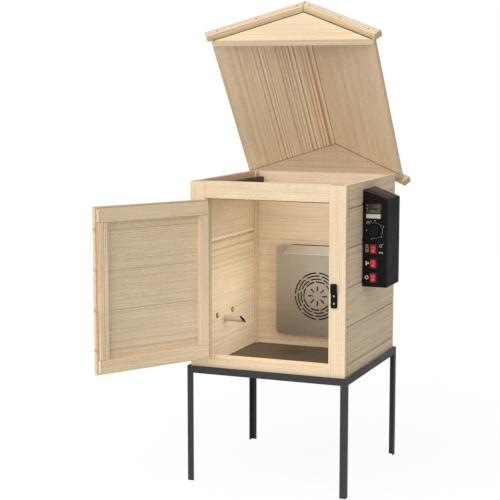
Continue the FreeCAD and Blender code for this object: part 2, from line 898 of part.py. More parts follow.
def dial_body():
    """Potentiometer: drum behind the panel, threaded bush through it and a nut in front."""
    inside = box_front + sheet
    drum = rod(dial_drum_radius, at(dial_x, inside, dial_z), at(dial_x, inside + dial_drum_length, dial_z))
    bush = rod(dial_bush_radius, at(dial_x, box_front - dial_nut, dial_z), at(dial_x, inside, dial_z))
    nut = hexagon(dial_nut_radius, at(dial_x, box_front, dial_z), at(dial_x, box_front - dial_nut, dial_z))
    bore = rod(dial_shaft_radius + running_fit, at(dial_x, box_front - dial_nut - 1, dial_z),
               at(dial_x, box_front + dial_shaft_back + running_fit, dial_z))
    return drum.fuse([bush, nut]).cut(bore)


def rocker_pivot_y():
    """Depth of the rocker's pivot that leaves its low end level with the frame."""
    low_end = rocker_front * math.cos(math.radians(rocker_tilt))
    corner = math.sqrt(rocker_radius ** 2 - rocker_front ** 2)
    low_end -= corner * math.sin(math.radians(rocker_tilt))
    return box_front - switch_flange + low_end


def rocker(z, tilt):
    """Shallow V in front, round ends about the pivot, and a trunnion at each side."""
    y = rocker_pivot_y()
    corner = math.sqrt(rocker_radius ** 2 - rocker_front ** 2)
    heel = math.sqrt(rocker_radius ** 2 - rocker_back ** 2)
    dip = rocker_front - corner * math.tan(math.radians(rocker_tilt))
    x = rocker_x - rocker_width / 2
    front = y - rocker_front
    back = y + rocker_back
    top = Part.Arc(at(x, front, z + corner), at(x, y, z + rocker_radius), at(x, back, z + heel))
    heel_line = Part.makeLine(at(x, back, z + heel), at(x, back, z - heel))
    foot = Part.Arc(at(x, back, z - heel), at(x, y, z - rocker_radius), at(x, front, z - corner))
    low_face = Part.makeLine(at(x, front, z - corner), at(x, y - dip, z))
    high_face = Part.makeLine(at(x, y - dip, z), at(x, front, z + corner))
    outline = Part.Wire([top.toShape(), heel_line, foot.toShape(), low_face, high_face])
    body = Part.Face(outline).extrude(across * rocker_width)
    pin = rod(rocker_pin_radius, at(x - rocker_pin, y, z), at(x + rocker_width + rocker_pin, y, z))
    body = body.fuse(pin)
    body.rotate(at(rocker_x, y, z), across, tilt)
    return body


def rocker_frame(z):
    """Switch housing clipped into the panel, with a well for the rocker and sockets for its pins."""
    half_w = switch_width / 2
    half_h = switch_height / 2
    face = box_front - switch_flange
    flange = block(rocker_x - half_w, rocker_x + half_w, face, box_front, z - half_h, z + half_h)
    flange = rounded(flange, 1.5, lambda edge: abs(edge.tangentAt(edge.FirstParameter).y) > 0.99)
    neck_w = switch_neck_width / 2
    neck_h = switch_neck_height / 2
    neck = block(rocker_x - neck_w, rocker_x + neck_w, box_front, box_front + switch_depth,
                 z - neck_h, z + neck_h)
    housing = flange.fuse(neck)
    well_w = rocker_width / 2 + joint_play
    well_h = rocker_radius + joint_play
    y = rocker_pivot_y()
    housing = housing.cut(block(rocker_x - well_w, rocker_x + well_w, face - 1, y + rocker_back + 3,
                                z - well_h, z + well_h))
    reach = rocker_width / 2 + rocker_pin + running_fit
    return housing.cut(rod(rocker_pin_radius + running_fit, at(rocker_x - reach, y, z),
                           at(rocker_x + reach, y, z)))


def cable_gland():
    """Gland body with its dome behind the box, and the lock nut inside it."""
    face = at(gland_x, box_back, gland_z)
    tip = face + rearward * gland_length
    inside = face - rearward * sheet
    body = hexagon(gland_hex_radius, face, face + rearward * 7)
    dome = [(0, 0), (7, 0), (10, 6), (10, gland_length - 7), (0, gland_length - 7)]
    body = body.fuse(spun(dome, tip, -rearward))
    body = body.fuse(rod(gland_thread_radius, face, inside - rearward * 8))
    body = body.cut(rod(gland_bore_radius, tip + rearward, inside - rearward * 9))
    nut = hexagon(gland_hex_radius, inside, inside - rearward * 4)
    nut = nut.cut(rod(gland_thread_radius + running_fit, inside + rearward, inside - rearward * 5))
    return [body, nut]


# Fan cover, heater and fan

def on_fan(radius, angle, y):
    return at(radius * math.sin(angle), y, fan_z + radius * math.cos(angle))


def arc_slot(radius, start, end):
    """A slot that follows a circle about the fan."""
    y = cover_face - 1
    far = radius + slot_width / 2
    near = radius - slot_width / 2
    middle = (start + end) / 2
    outer = Part.Arc(on_fan(far, start, y), on_fan(far, middle, y), on_fan(far, end, y)).toShape()
    inner = Part.Arc(on_fan(near, end, y), on_fan(near, middle, y), on_fan(near, start, y)).toShape()
    ends = [Part.makeLine(on_fan(far, end, y), on_fan(near, end, y))]
    ends.append(Part.makeLine(on_fan(near, start, y), on_fan(far, start, y)))
    outline = Part.Wire([outer, ends[0], inner, ends[1]])
    return Part.Face(outline).extrude(rearward * (sheet + 2))


def air_slots():
    slots = []
    pitch = 2 * math.pi / slots_per_ring
    land = math.radians(slot_land_angle)
    for radius, turn in zip(slot_radii, slot_turns):
        for step in range(slots_per_ring):
            start = pitch * step + math.radians(turn) + land
            slots.append(arc_slot(radius, start, start + pitch - 2 * land))
    for step in range(slots_per_ring):
        spoke = block(-slot_width / 2, slot_width / 2, cover_face - 1, cover_face + sheet + 1,
                      fan_z + spoke_inner, fan_z + spoke_outer)
        spoke.rotate(at(0, 0, fan_z), rearward, 360 * step / slots_per_ring)
        slots.append(spoke)
    return slots


def fan_cover():
    """Sheet on four welded studs, slotted round the fan, its top strip bent back to throw the air up."""
    back = cover_face + sheet
    plate = block(-cover_half_width, cover_half_width, cover_face, back, cover_bottom, cover_top)
    plate = rounded(plate, cover_corner, lambda edge: abs(edge.tangentAt(edge.FirstParameter).y) > 0.99)
    window = [at(-cover_bend_half, cover_face - 1, cover_bend_z),
              at(cover_bend_half, cover_face - 1, cover_bend_z)]
    window += [at(cover_lip_half + 2, cover_face - 1, cover_top + 1)]
    window += [at(-cover_lip_half - 2, cover_face - 1, cover_top + 1)]
    plate = plate.cut(prism(window, rearward * (sheet + 2)))
    lip = [at(-cover_bend_half, cover_face, cover_bend_z), at(cover_bend_half, cover_face, cover_bend_z)]
    lip += [at(cover_lip_half, cover_face, cover_top), at(-cover_lip_half, cover_face, cover_top)]
    strip = prism(lip, rearward * sheet)
    strip.rotate(at(0, cover_face, cover_bend_z), across, -cover_lip_angle)
    knee = rod(sheet, at(-cover_bend_half, cover_face, cover_bend_z),
               at(cover_bend_half, cover_face, cover_bend_z))
    knee = knee.common(block(-cover_half_width, cover_half_width, cover_face, back + sheet,
                             cover_bend_z, cover_bend_z + 2 * sheet))
    plate = plate.fuse([strip, knee]).cut(air_slots())
    studs = []
    for x in (cover_stud_inset - cover_half_width, cover_half_width - cover_stud_inset):
        for z in (cover_bottom + cover_stud_inset, cover_top - cover_stud_inset):
            studs.append(rod(cover_stud_radius, at(x, back, z), at(x, inner_y, z)))
    return plate.fuse(studs)


def heater_ring():
    """Tubular element bent to a ring open at the foot, both ends turned back through the wall."""
    step = (360 - 2 * heater_gap_angle) / heater_bends
    angles = [math.radians(heater_gap_angle + step * index) for index in range(heater_bends + 1)]
    bends = [at(-heater_radius * math.sin(a), heater_y, fan_z - heater_radius * math.cos(a)) for a in angles]
    tail = rearward * heater_tail
    path = Part.makePolygon([bends[0] + tail] + bends + [bends[-1] + tail])
    section = Part.Wire(Part.makeCircle(heater_rod, bends[0] + tail, rearward))
    return path.makePipeShell([section], True, False, 1)


def fan_impeller():
    """Disc with leaning blades on a hub, fixed to the shaft that runs through the wall."""
    back = impeller_front + impeller_width
    disc = rod(impeller_radius, at(0, back - impeller_disc, fan_z), at(0, back, fan_z))
    hub = rod(impeller_hub, at(0, impeller_front, fan_z), at(0, back, fan_z))
    parts = [hub]
    for step in range(impeller_blades):
        blade = block(-blade_thickness / 2, blade_thickness / 2, impeller_front, back - impeller_disc,
                      fan_z + impeller_hub + 4, fan_z + impeller_radius - 5)
        blade.rotate(at(0, 0, fan_z + impeller_hub + 4), rearward, blade_lean)
        blade.rotate(at(0, 0, fan_z), rearward, 360 * step / impeller_blades)
        parts.append(blade)
    end = half_y + motor_flange + motor_length - 8
    parts.append(rod(shaft_radius, at(0, impeller_front - 2, fan_z), at(0, end, fan_z)))
    return disc.fuse(parts)


def motor_body():
    front = half_y
    flange = block(-motor_flange_half, motor_flange_half, front, front + motor_flange,
                   fan_z - motor_flange_half, fan_z + motor_flange_half)
    flange = rounded(flange, 6.0, lambda edge: abs(edge.tangentAt(edge.FirstParameter).y) > 0.99)
    back = front + motor_flange + motor_length
    drum = rod(motor_radius, at(0, front + motor_flange, fan_z), at(0, back, fan_z))
    bore = rod(shaft_radius + running_fit, at(0, front - 1, fan_z), at(0, back - 8 + joint_play, fan_z))
    return flange.fuse(drum).cut(bore)


def motor_cover():
    """Sheet box open to the wall, with a tab at each side and a row of vents behind."""
    wall = motor_cover_sheet
    back = half_y + motor_cover_depth
    shell = block(-motor_cover_half, motor_cover_half, half_y, back, motor_cover_bottom, motor_cover_top)
    shell = shell.cut(block(-motor_cover_half + wall, motor_cover_half - wall, half_y - 1, back - wall,
                            motor_cover_bottom + wall, motor_cover_top - wall))
    reach = motor_cover_half + motor_cover_tab
    middle = (motor_cover_bottom + motor_cover_top) / 2
    tabs = [block(motor_cover_half - wall, reach, half_y, half_y + wall, middle - 30, middle + 30)]
    tabs.append(mirrored(tabs[0]))
    shell = shell.fuse(tabs)
    vents = []
    for step in range(-3, 4):
        z = middle + vent_pitch * step
        vents.append(block(-vent_length / 2, vent_length / 2, back - 5, back + 5,
                           z - vent_width / 2, z + vent_width / 2))
    return shell.cut(vents)


def temperature_probe():
    stem = rod(probe_radius, at(inner_x - probe_inside, probe_y, probe_z),
               at(half_x + probe_outside, probe_y, probe_z))
    tip = Part.makeSphere(probe_radius, at(inner_x - probe_inside, probe_y, probe_z))
    nut = hexagon(probe_nut_radius, at(inner_x - probe_nut, probe_y, probe_z), at(inner_x, probe_y, probe_z))
    return stem.fuse([tip, nut])


# Smoke canister outside the left wall

def smoke_canister():
    """Upright canister with a grate, its outlet tube and its wall flange, welded together."""
    middle = at(canister_x, smoke_y, canister_bottom)
    top = at(canister_x, smoke_y, canister_top)
    outer = rod(canister_radius, middle, top)
    inner = rod(canister_radius - canister_wall, middle - upward, top + upward)
    grate = rod(canister_radius - canister_wall, at(canister_x, smoke_y, grate_z),
                at(canister_x, smoke_y, grate_z + canister_wall))
    holes = [block(canister_x - grate_slot_half, canister_x + grate_slot_half,
                   smoke_y + row - 2, smoke_y + row + 2,
                   grate_z - 1, grate_z + canister_wall + 1) for row in grate_rows]
    start = at(canister_x + canister_radius - canister_wall - 3, smoke_y, smoke_z)
    low_end = smoke_tube_top_end + 2 * smoke_tube_radius
    tube = rod(smoke_tube_radius, start, at(low_end, smoke_y, smoke_z))
    cut = [at(smoke_tube_top_end - 1, smoke_y - 20, smoke_z + smoke_tube_radius + 1)]
    cut += [at(low_end + 1, smoke_y - 20, smoke_z - smoke_tube_radius - 1)]
    cut += [at(low_end + 1, smoke_y - 20, smoke_z + smoke_tube_radius + 1)]
    tube = tube.cut(prism(cut, rearward * 40))
    plate = block(-half_x - flange_thickness, -half_x,
                  smoke_y - flange_half_length, smoke_y + flange_half_length,
                  flange_z - flange_half_height, flange_z + flange_half_height)
    plate = rounded(plate, flange_corner, lambda edge: abs(edge.tangentAt(edge.FirstParameter).x) > 0.99)
    for y in smoke_bolt_places():
        plate = plate.cut(rod(smoke_bolt_radius + cutout_play, at(-half_x - 5, y, smoke_bolt_z),
                              at(-half_x + 5, y, smoke_bolt_z)))
    body = outer.fuse([tube, plate]).cut(inner).fuse(grate.cut(holes))
    bore = rod(smoke_tube_radius - smoke_tube_wall, start - across * 8, at(low_end + 5, smoke_y, smoke_z))
    return body.cut(bore)


def smoke_cap():
    """Cap with a skirt over the canister's rim and a turned knob."""
    inner = canister_radius + joint_play
    outer = inner + cap_thickness
    low = canister_top - cap_skirt
    deck = canister_top + joint_play
    skirt = rod(outer, at(canister_x, smoke_y, low), at(canister_x, smoke_y, deck + cap_thickness))
    skirt = skirt.cut(rod(inner, at(canister_x, smoke_y, low - 1), at(canister_x, smoke_y, deck)))
    knob = [(0, 0), (cap_neck_radius, 0), (cap_neck_radius, cap_neck), (cap_knob_radius, cap_neck)]
    knob += [(cap_knob_radius, cap_knob_height), (0, cap_knob_height)]
    return skirt.fuse(spun(knob, at(canister_x, smoke_y, deck + cap_thickness), upward))


def ash_cup():
    """Cup that slips over the canister's foot."""
    inner = canister_radius + joint_play
    outer = inner + cup_wall
    floor_top = canister_bottom - joint_play
    low = floor_top - cup_floor
    cup = rod(outer, at(canister_x, smoke_y, low), at(canister_x, smoke_y, low + cup_height))
    return cup.cut(rod(inner, at(canister_x, smoke_y, floor_top),
                       at(canister_x, smoke_y, low + cup_height + 1)))


def smoke_bolts():
    """Two bolts through flange and wall, heads outside, nuts inside."""
    parts = []
    for y in smoke_bolt_places():
        outside = -half_x - flange_thickness
        head = hexagon(hex_radius, at(outside - smoke_bolt_head, y, smoke_bolt_z),
                       at(outside, y, smoke_bolt_z))
        shank = rod(smoke_bolt_radius, at(outside, y, smoke_bolt_z),
                    at(-inner_x + smoke_nut + 3, y, smoke_bolt_z))
        parts.append(head.fuse(shank))
        nut = hexagon(hex_radius, at(-inner_x, y, smoke_bolt_z), at(-inner_x + smoke_nut, y, smoke_bolt_z))
        parts.append(nut.cut(rod(smoke_bolt_radius + running_fit, at(-inner_x - 1, y, smoke_bolt_z),
                                 at(-inner_x + smoke_nut + 1, y, smoke_bolt_z))))
    return parts


def save(name, shapes):
    group = shapes if isinstance(shapes, list) else [shapes]
    whole = group[0] if len(group) == 1 else Part.makeCompound(group)
    whole.exportStep("parts/" + name + ".step")


def save_stand_and_cabinet():
    save("stand_ring", stand_ring())
    save("leg_front_left", leg(-1, -1))
    save("leg_front_right", leg(1, -1))
    save("leg_rear_left", leg(-1, 1))
    save("leg_rear_right", leg(1, 1))
    save("floor_plate", floor_plate())
    save("stile_left", mirrored(stile_right()))
    save("stile_right", stile_right())
    save("top_rail", frame_rail(opening_top, cabinet_top))
    save("sill_rail", frame_rail(cabinet_bottom, opening_bottom))
    save("corner_posts", corner_posts())
    save("stop_rails", stop_rails())
    save("wall_boards_left", wall_boards_left())
    save("wall_boards_right", wall_boards_right())
    save("wall_boards_rear", wall_boards_rear())
    save("hanging_rails", hanging_rails())
    save("latch_keeper", latch_keeper())
    save("hinge_batten", hinge_batten())


def save_door():
    save("door_boards", [door_turned(plank) for plank in door_boards()])
    save("door_rails", [door_turned(rail) for rail in door_rails()])
    save("door_stiles", [door_turned(stile) for stile in door_stiles()])
    save("door_handle", door_turned(door_handle()))
    save("latch_pivot_plate", door_turned(latch_pivot_plate()))
    save("latch_bar", door_turned(latch_bar()))
    sets = [door_hinge(height) for height in door_hinge_heights]
    save("frame_hinge_leaves", [parts[0] for parts in sets])
    save("door_hinge_leaves", [door_turned(parts[1]) for parts in sets])
    save("door_hinge_pins", [parts[2] for parts in sets])


def save_lid():
    save("roof_boards_left", [lid_tipped(plank) for plank in roof_boards(-1)])
    save("roof_boards_right", [lid_tipped(plank) for plank in roof_boards(1)])
    save("gable_front", lid_tipped(gable(-gable_outer)))
    save("gable_rear", lid_tipped(gable(gable_inner)))
    save("bargeboards", [lid_tipped(strip) for strip in bargeboards()])
    sets = [lid_hinge(x) for x in (-lid_hinge_x, lid_hinge_x)]
    save("back_hinge_leaves", [parts[0] for parts in sets])
    save("lid_hinge_leaves", [lid_tipped(parts[1]) for parts in sets])
    save("lid_hinge_pins", [parts[2] for parts in sets])


def save_controls():
    save("control_box", control_box())
    save("controller_case", controller_case())
    save("controller_lens", controller_lens())
    for name, x in zip(("key_set", "key_shift", "key_down", "key_up"), key_places()):
        save(name, key(x))
    save("dial_knob", dial_knob())
    save("dial_shaft", dial_shaft())
    save("dial_body", dial_body())
    for name, z in zip(("rocker_heater", "rocker_fan", "rocker_smoke"), rocker_heights):
        save(name, rocker(z, rocker_tilt))
    save("rocker_frames", [rocker_frame(z) for z in rocker_heights])
    save("cable_gland", cable_gland())
    save("temperature_probe", temperature_probe())


def save_heating_and_smoke():
    save("fan_cover", fan_cover())
    save("heater_ring", heater_ring())
    save("fan_impeller", fan_impeller())
    save("motor_body", motor_body())
    save("motor_cover", motor_cover())
    save("smoke_canister", smoke_canister())
    save("smoke_cap", smoke_cap())
    save("ash_cup", ash_cup())
    save("smoke_bolts", smoke_bolts())


os.makedirs("parts", exist_ok=True)
save_stand_and_cabinet()
save_door()
save_lid()
save_controls()
save_heating_and_smoke()
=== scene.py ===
import json
import math
import random

import bmesh
import bpy
from mathutils import Matrix, Vector

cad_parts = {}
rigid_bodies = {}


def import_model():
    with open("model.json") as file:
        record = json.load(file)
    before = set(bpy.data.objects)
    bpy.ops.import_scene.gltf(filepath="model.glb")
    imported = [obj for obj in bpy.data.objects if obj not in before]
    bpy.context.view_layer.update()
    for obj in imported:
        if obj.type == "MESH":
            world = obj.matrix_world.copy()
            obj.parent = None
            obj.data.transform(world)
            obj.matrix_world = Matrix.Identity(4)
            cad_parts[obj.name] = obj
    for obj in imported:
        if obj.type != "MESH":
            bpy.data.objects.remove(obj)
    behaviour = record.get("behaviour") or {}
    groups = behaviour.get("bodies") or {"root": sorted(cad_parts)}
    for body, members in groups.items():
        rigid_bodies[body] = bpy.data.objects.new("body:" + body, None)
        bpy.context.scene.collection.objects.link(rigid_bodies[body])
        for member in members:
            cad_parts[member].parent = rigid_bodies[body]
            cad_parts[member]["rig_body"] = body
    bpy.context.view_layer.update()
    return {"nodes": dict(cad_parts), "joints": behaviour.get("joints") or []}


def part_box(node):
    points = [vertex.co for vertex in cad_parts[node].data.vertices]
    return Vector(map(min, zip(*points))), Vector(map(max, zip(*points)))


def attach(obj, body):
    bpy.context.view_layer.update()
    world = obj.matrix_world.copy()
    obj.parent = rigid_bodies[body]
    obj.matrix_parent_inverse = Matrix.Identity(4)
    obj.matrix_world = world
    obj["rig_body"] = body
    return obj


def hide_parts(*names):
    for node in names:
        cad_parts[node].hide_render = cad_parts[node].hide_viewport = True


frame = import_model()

mm = 0.001
print("frame loaded,", len(frame["nodes"]), "parts")


# Shader helpers

def tint(red, green, blue):
    channels = [c / 255 for c in (red, green, blue)]
    return tuple(c / 12.92 if c < 0.04045 else ((c + 0.055) / 1.055) ** 2.4 for c in channels) + (1.0,)


def plugIn(tree, sockets, values):
    for name, value in values.items():
        if isinstance(value, bpy.types.NodeSocket):
            tree.links.new(value, sockets[name])
        else:
            sockets[name].default_value = value


def addNode(tree, kind, plugs=None, **settings):
    node = tree.nodes.new("ShaderNode" + kind)
    for name, value in settings.items():
        setattr(node, name, value)
    plugIn(tree, node.inputs, plugs or {})
    return node


def calc(tree, operation, a, b=0.0, clamp=False):
    return addNode(tree, "Math", {0: a, 1: b}, operation=operation, use_clamp=clamp).outputs[0]


def times(tree, a, b, clamp=False):
    return calc(tree, "MULTIPLY", a, b, clamp)


def plus(tree, a, b):
    return calc(tree, "ADD", a, b)


def ramp(tree, value, low, high, atLow=0.0, atHigh=1.0, kind="SMOOTHSTEP"):
    return addNode(tree, "MapRange", {0: value, 1: low, 2: high, 3: atLow, 4: atHigh},
                   interpolation_type=kind).outputs[0]


def slope(tree, value, low, high, atLow, atHigh):
    return ramp(tree, value, low, high, atLow, atHigh, "LINEAR")


def blendColour(tree, factor, a, b, mode="MIX"):
    return addNode(tree, "Mix", {0: factor, 6: a, 7: b}, data_type="RGBA", blend_type=mode).outputs[2]


def noise(tree, vector, scale, detail=2.0, rough=0.5):
    return addNode(tree, "TexNoise", {"Vector": vector, "Scale": scale, "Detail": detail,
                                      "Roughness": rough}).outputs["Fac"]


def noiseAlong(tree, value, scale, detail):
    return addNode(tree, "TexNoise", {"W": value, "Scale": scale, "Detail": detail},
                   noise_dimensions="1D").outputs["Fac"]


def readValue(tree, name, output="Fac"):
    return addNode(tree, "Attribute", attribute_name=name).outputs[output]


def objectPlace(tree):
    return addNode(tree, "TexCoord").outputs["Object"]


def splitUp(tree, vector):
    return addNode(tree, "SeparateXYZ", {0: vector}).outputs


def newGroup(name, inputs, outputs):
    tree = bpy.data.node_groups.new(name, "ShaderNodeTree")
    kinds = {4: "Color", 3: "Vector"}
    for label, value in inputs.items():
        kind = kinds[len(value)] if isinstance(value, tuple) else "Float"
        socket = tree.interface.new_socket(name=label, in_out="INPUT", socket_type="NodeSocket" + kind)
        socket.default_value = value
    for label in outputs:
        kind = "Color" if label == "Color" else "Float"
        tree.interface.new_socket(name=label, in_out="OUTPUT", socket_type="NodeSocket" + kind)
    return tree, tree.nodes.new("NodeGroupInput").outputs, tree.nodes.new("NodeGroupOutput").inputs


def placeGroup(tree, group, plugs):
    return addNode(tree, "Group", plugs, node_tree=group).outputs


def newMaterial(name):
    material = bpy.data.materials.new(name)
    material.use_nodes = True
    tree = material.node_tree
    return material, tree, tree.nodes["Principled BSDF"]


def finish(tree, shader, values, height=None, depth=0.0, strength=1.0):
    plugIn(tree, shader.inputs, values)
    if height:
        bump = addNode(tree, "Bump", {"Height": height, "Strength": strength, "Distance": depth})
        plugIn(tree, shader.inputs, {"Normal": bump.outputs[0]})


# Effects that several materials share

grey = (0.5, 0.5, 0.5, 1.0)
origin = (0.0, 0.0, 0.0)


def makeWear():
    tree, given, out = newGroup("edgeWear", {"Color": grey, "Worn Color": grey, "Place": origin, "Edge": 0.0,
                                             "Amount": 0.5, "Size": 90.0}, ["Color"])
    patch = ramp(tree, noise(tree, given["Place"], given["Size"], 3.0, 0.6), 0.42, 0.66)
    mask = times(tree, times(tree, patch, given["Edge"]), given["Amount"], True)
    plugIn(tree, out, {"Color": blendColour(tree, mask, given["Color"], given["Worn Color"])})
    return tree


def makeDust():
    tree, given, out = newGroup("fineDust", {"Color": grey, "Dust Color": grey, "Place": origin,
                                             "Amount": 0.1, "Size": 12.0}, ["Color", "Mask"])
    cloud = ramp(tree, noise(tree, given["Place"], given["Size"], 4.0, 0.6), 0.35, 0.75)
    specks = ramp(tree, noise(tree, given["Place"], 900.0, 1.0), 0.6, 0.8)
    mask = times(tree, plus(tree, cloud, times(tree, specks, 0.5)), given["Amount"], True)
    plugIn(tree, out, {"Color": blendColour(tree, mask, given["Color"], given["Dust Color"]), "Mask": mask})
    return tree


def makeGrit():
    tree, given, out = newGroup("coatGrit", {"Place": origin, "Size": 1200.0}, ["Height", "Shade"])
    cells = addNode(tree, "TexVoronoi", {"Vector": given["Place"], "Scale": given["Size"]},
                    feature="SMOOTH_F1").outputs["Distance"]
    swell = noise(tree, given["Place"], 60.0)
    plugIn(tree, out, {"Height": plus(tree, times(tree, cells, 0.7), times(tree, swell, 0.6)),
                       "Shade": ramp(tree, cells, 0.0, 0.8)})
    return tree


def makeBrushing():
    tree, given, out = newGroup("brushedLines", {"Place": origin, "Stretch": (8.0, 300.0, 300.0)},
                                ["Lines", "Cloud"])
    scaled = addNode(tree, "VectorMath", {0: given["Place"], 1: given["Stretch"]},
                     operation="MULTIPLY").outputs[0]
    plugIn(tree, out, {"Lines": noise(tree, scaled, 1.0, 4.0, 0.65),
                       "Cloud": noise(tree, given["Place"], 7.0, 3.0, 0.55)})
    return tree


# Fields: stretch along and across the board, detail and roughness of each noise that the grain reads
pineLook = {
    "early": tint(240, 219, 187), "late": tint(214, 176, 130), "deep": tint(200, 156, 102),
    "bright": tint(255, 249, 234), "endShade": tint(206, 172, 126), "seam": tint(112, 82, 52),
    "rubbed": tint(236, 212, 174), "dust": tint(205, 176, 134), "bump": 0.12 * mm,
    "sway": (0.003, 0.016), "ripple": (0.0006, 0.0045), "seasonScale": 0.4, "seasonReach": 1.6,
    "yearScale": 0.31, "fields": {
        "sway": ((2.2, 5, 5), 2.0, 0.5), "ripple": ((11, 34, 34), 2.0, 0.5), "fade": ((3, 20, 20), 2.0, 0.5),
        "fibre": ((9, 300, 300), 2.0, 0.6), "pores": ((130, 340, 340), 2.0, 0.8),
        "streak": ((1.0, 110, 110), 3.0, 0.7), "blotch": ((3, 7, 7), 3.0, 0.5)},
}


def makeBoardGrain():
    tree, given, out = newGroup("boardGrain", {"Place": origin, "Tone": 1.0, "Figure": 0.3, "Wild": 0.0,
                                               "Spacing": 5.0 * mm, "End": 0.0},
                                ["Color", "Roughness", "Height"])
    look, place, figure, end = pineLook, given["Place"], given["Figure"], given["End"]
    field = {}
    for name, (stretch, detail, rough) in look["fields"].items():
        stretched = addNode(tree, "Mapping", {"Vector": place, "Scale": stretch}).outputs[0]
        field[name] = noise(tree, stretched, 1.0, detail, rough)
    # the rings sway slowly along the board and ripple a little, more so in a wild board
    sway, ripple = [times(tree, calc(tree, "SUBTRACT", field[name], 0.5),
                          slope(tree, given["Wild"], 0.0, 1.0, *look[name])) for name in ("sway", "ripple")]
    parts = splitUp(tree, place)
    flat = addNode(tree, "CombineXYZ", {1: parts[1], 2: parts[2]}).outputs[0]
    reach = addNode(tree, "VectorMath", {0: flat}, operation="LENGTH").outputs["Value"]
    even = calc(tree, "DIVIDE", plus(tree, reach, plus(tree, sway, ripple)), given["Spacing"])
    # good and poor summers space the rings unevenly
    seasons = noiseAlong(tree, even, look["seasonScale"], 1.0)
    rings = plus(tree, even, times(tree, seasons, look["seasonReach"]))
    phase = calc(tree, "FRACT", rings)
    late = times(tree, ramp(tree, phase, 0.45, 0.85), ramp(tree, phase, 0.88, 1.0, 1.0, 0.0))
    pale = ramp(tree, phase, 0.08, 0.4, 1.0, 0.0)
    # most years are faint, a few stand out
    rarest = slope(tree, figure, 0.4, 1.0, 0.56, 0.38)
    year = noiseAlong(tree, rings, look["yearScale"], 2.0)
    year = ramp(tree, calc(tree, "SUBTRACT", year, rarest), 0.0, 0.1)
    fade = ramp(tree, field["fade"], 0.3, 0.6, 0.5, 1.0)
    faint = slope(tree, figure, 0.0, 1.0, 0.2, 0.6)
    strong = times(tree, year, ramp(tree, figure, 0.2, 1.0, 0.15, 1.0))
    lateMask = times(tree, times(tree, late, plus(tree, faint, strong)), fade, True)
    warm = blendColour(tree, times(tree, strong, 1.2, True), look["late"], look["deep"])
    colour = blendColour(tree, times(tree, pale, strong), look["early"], look["bright"])
    colour = blendColour(tree, lateMask, colour, warm)
    streakMask = times(tree, ramp(tree, field["streak"], 0.46, 0.7), 0.42)
    colour = blendColour(tree, streakMask, colour, look["late"])
    # fibres, blotches and pores shade the board a little
    shade = given["Tone"]
    for name, low, high in (("fibre", -0.08, 0.07), ("blotch", -0.025, 0.025), ("pores", -0.105, 0.09)):
        shade = plus(tree, shade, slope(tree, field[name], 0.3, 0.7, low, high))
    greys = addNode(tree, "CombineColor", {0: shade, 1: shade, 2: shade}).outputs[0]
    colour = blendColour(tree, 1.0, colour, greys, "MULTIPLY")
    endColour = blendColour(tree, times(tree, late, 0.5), look["endShade"], look["deep"])
    rough = slope(tree, field["fibre"], 0.2, 0.8, 0.54, 0.7)
    plugIn(tree, out, {
        "Color": blendColour(tree, times(tree, end, 0.7), colour, endColour),
        "Roughness": plus(tree, rough, times(tree, end, 0.15)),
        "Height": plus(tree, times(tree, field["fibre"], 0.6), times(tree, lateMask, 0.5))})
    return tree


edgeWear, fineDust, coatGrit = makeWear(), makeDust(), makeGrit()
brushedLines, boardGrain = makeBrushing(), makeBoardGrain()


# Materials, each kept in surfaces under its own name

surfaces = {}


def wearEdges(tree, colour, worn, place, amount, size):
    return placeGroup(tree, edgeWear, {"Color": colour, "Worn Color": worn, "Place": place, "Size": size,
                                       "Edge": readValue(tree, "edge"), "Amount": amount})["Color"]


def layDust(tree, colour, dust, place, amount, size):
    return placeGroup(tree, fineDust, {"Color": colour, "Dust Color": dust, "Place": place,
                                       "Amount": amount, "Size": size})


def spread(tree, value, low, high, middle, swing):
    return ramp(tree, value, low, high, middle - swing, middle + swing)


def makePine(name):
    material, tree, shader = newMaterial(name)
    place = readValue(tree, "place", "Vector")
    reads = {"Tone": "board", "Figure": "figure", "Wild": "wild", "Spacing": "spacing", "End": "endCut"}
    plugs = {socket: readValue(tree, layer) for socket, layer in reads.items()}
    grain = placeGroup(tree, boardGrain, {"Place": place, **plugs})
    # eased edges are a little paler, and the joints between boards hold a dark line
    worn = wearEdges(tree, grain["Color"], pineLook["rubbed"], place, 0.6, 40.0)
    seam = times(tree, readValue(tree, "edge"), readValue(tree, "joint"))
    jointed = blendColour(tree, seam, worn, pineLook["seam"])
    dusty = layDust(tree, jointed, pineLook["dust"], objectPlace(tree), 0.09, 6.0)
    finish(tree, shader, {"Base Color": dusty["Color"], "Roughness": grain["Roughness"],
                          "Specular IOR Level": 0.3}, grain["Height"], pineLook["bump"], 0.6)
    return material


def makeCoat(name, look):
    material, tree, shader = newMaterial(name)
    place = objectPlace(tree)
    grit = placeGroup(tree, coatGrit, {"Place": place, "Size": look["grit"]})
    base = blendColour(tree, grit["Shade"], tint(*look["pit"]), tint(*look["colour"]))
    worn = wearEdges(tree, base, tint(*look["worn"]), place, look["wear"], 70.0)
    # dust gathers where the coat faces up; on the control box the large share is mostly a painted sheen on
    # its top
    up = splitUp(tree, addNode(tree, "NewGeometry").outputs["Normal"])[2]
    amount = ramp(tree, up, 0.35, 0.9, look["dustAmount"], look["topDust"])
    dusty = layDust(tree, worn, tint(*look["dust"]), place, amount, 9.0)
    rough = spread(tree, noise(tree, place, 14.0, 3.0), 0.3, 0.7, look["rough"], 0.05)
    rough = plus(tree, rough, times(tree, dusty["Mask"], 0.4))
    finish(tree, shader, {"Base Color": dusty["Color"], "Roughness": rough,
                          "Specular IOR Level": look["gloss"]}, grit["Height"], look["bump"] * mm)
    return material


coverFootShadeHeights = (0.4, 0.66)
coverFootShade = tint(150, 138, 120)


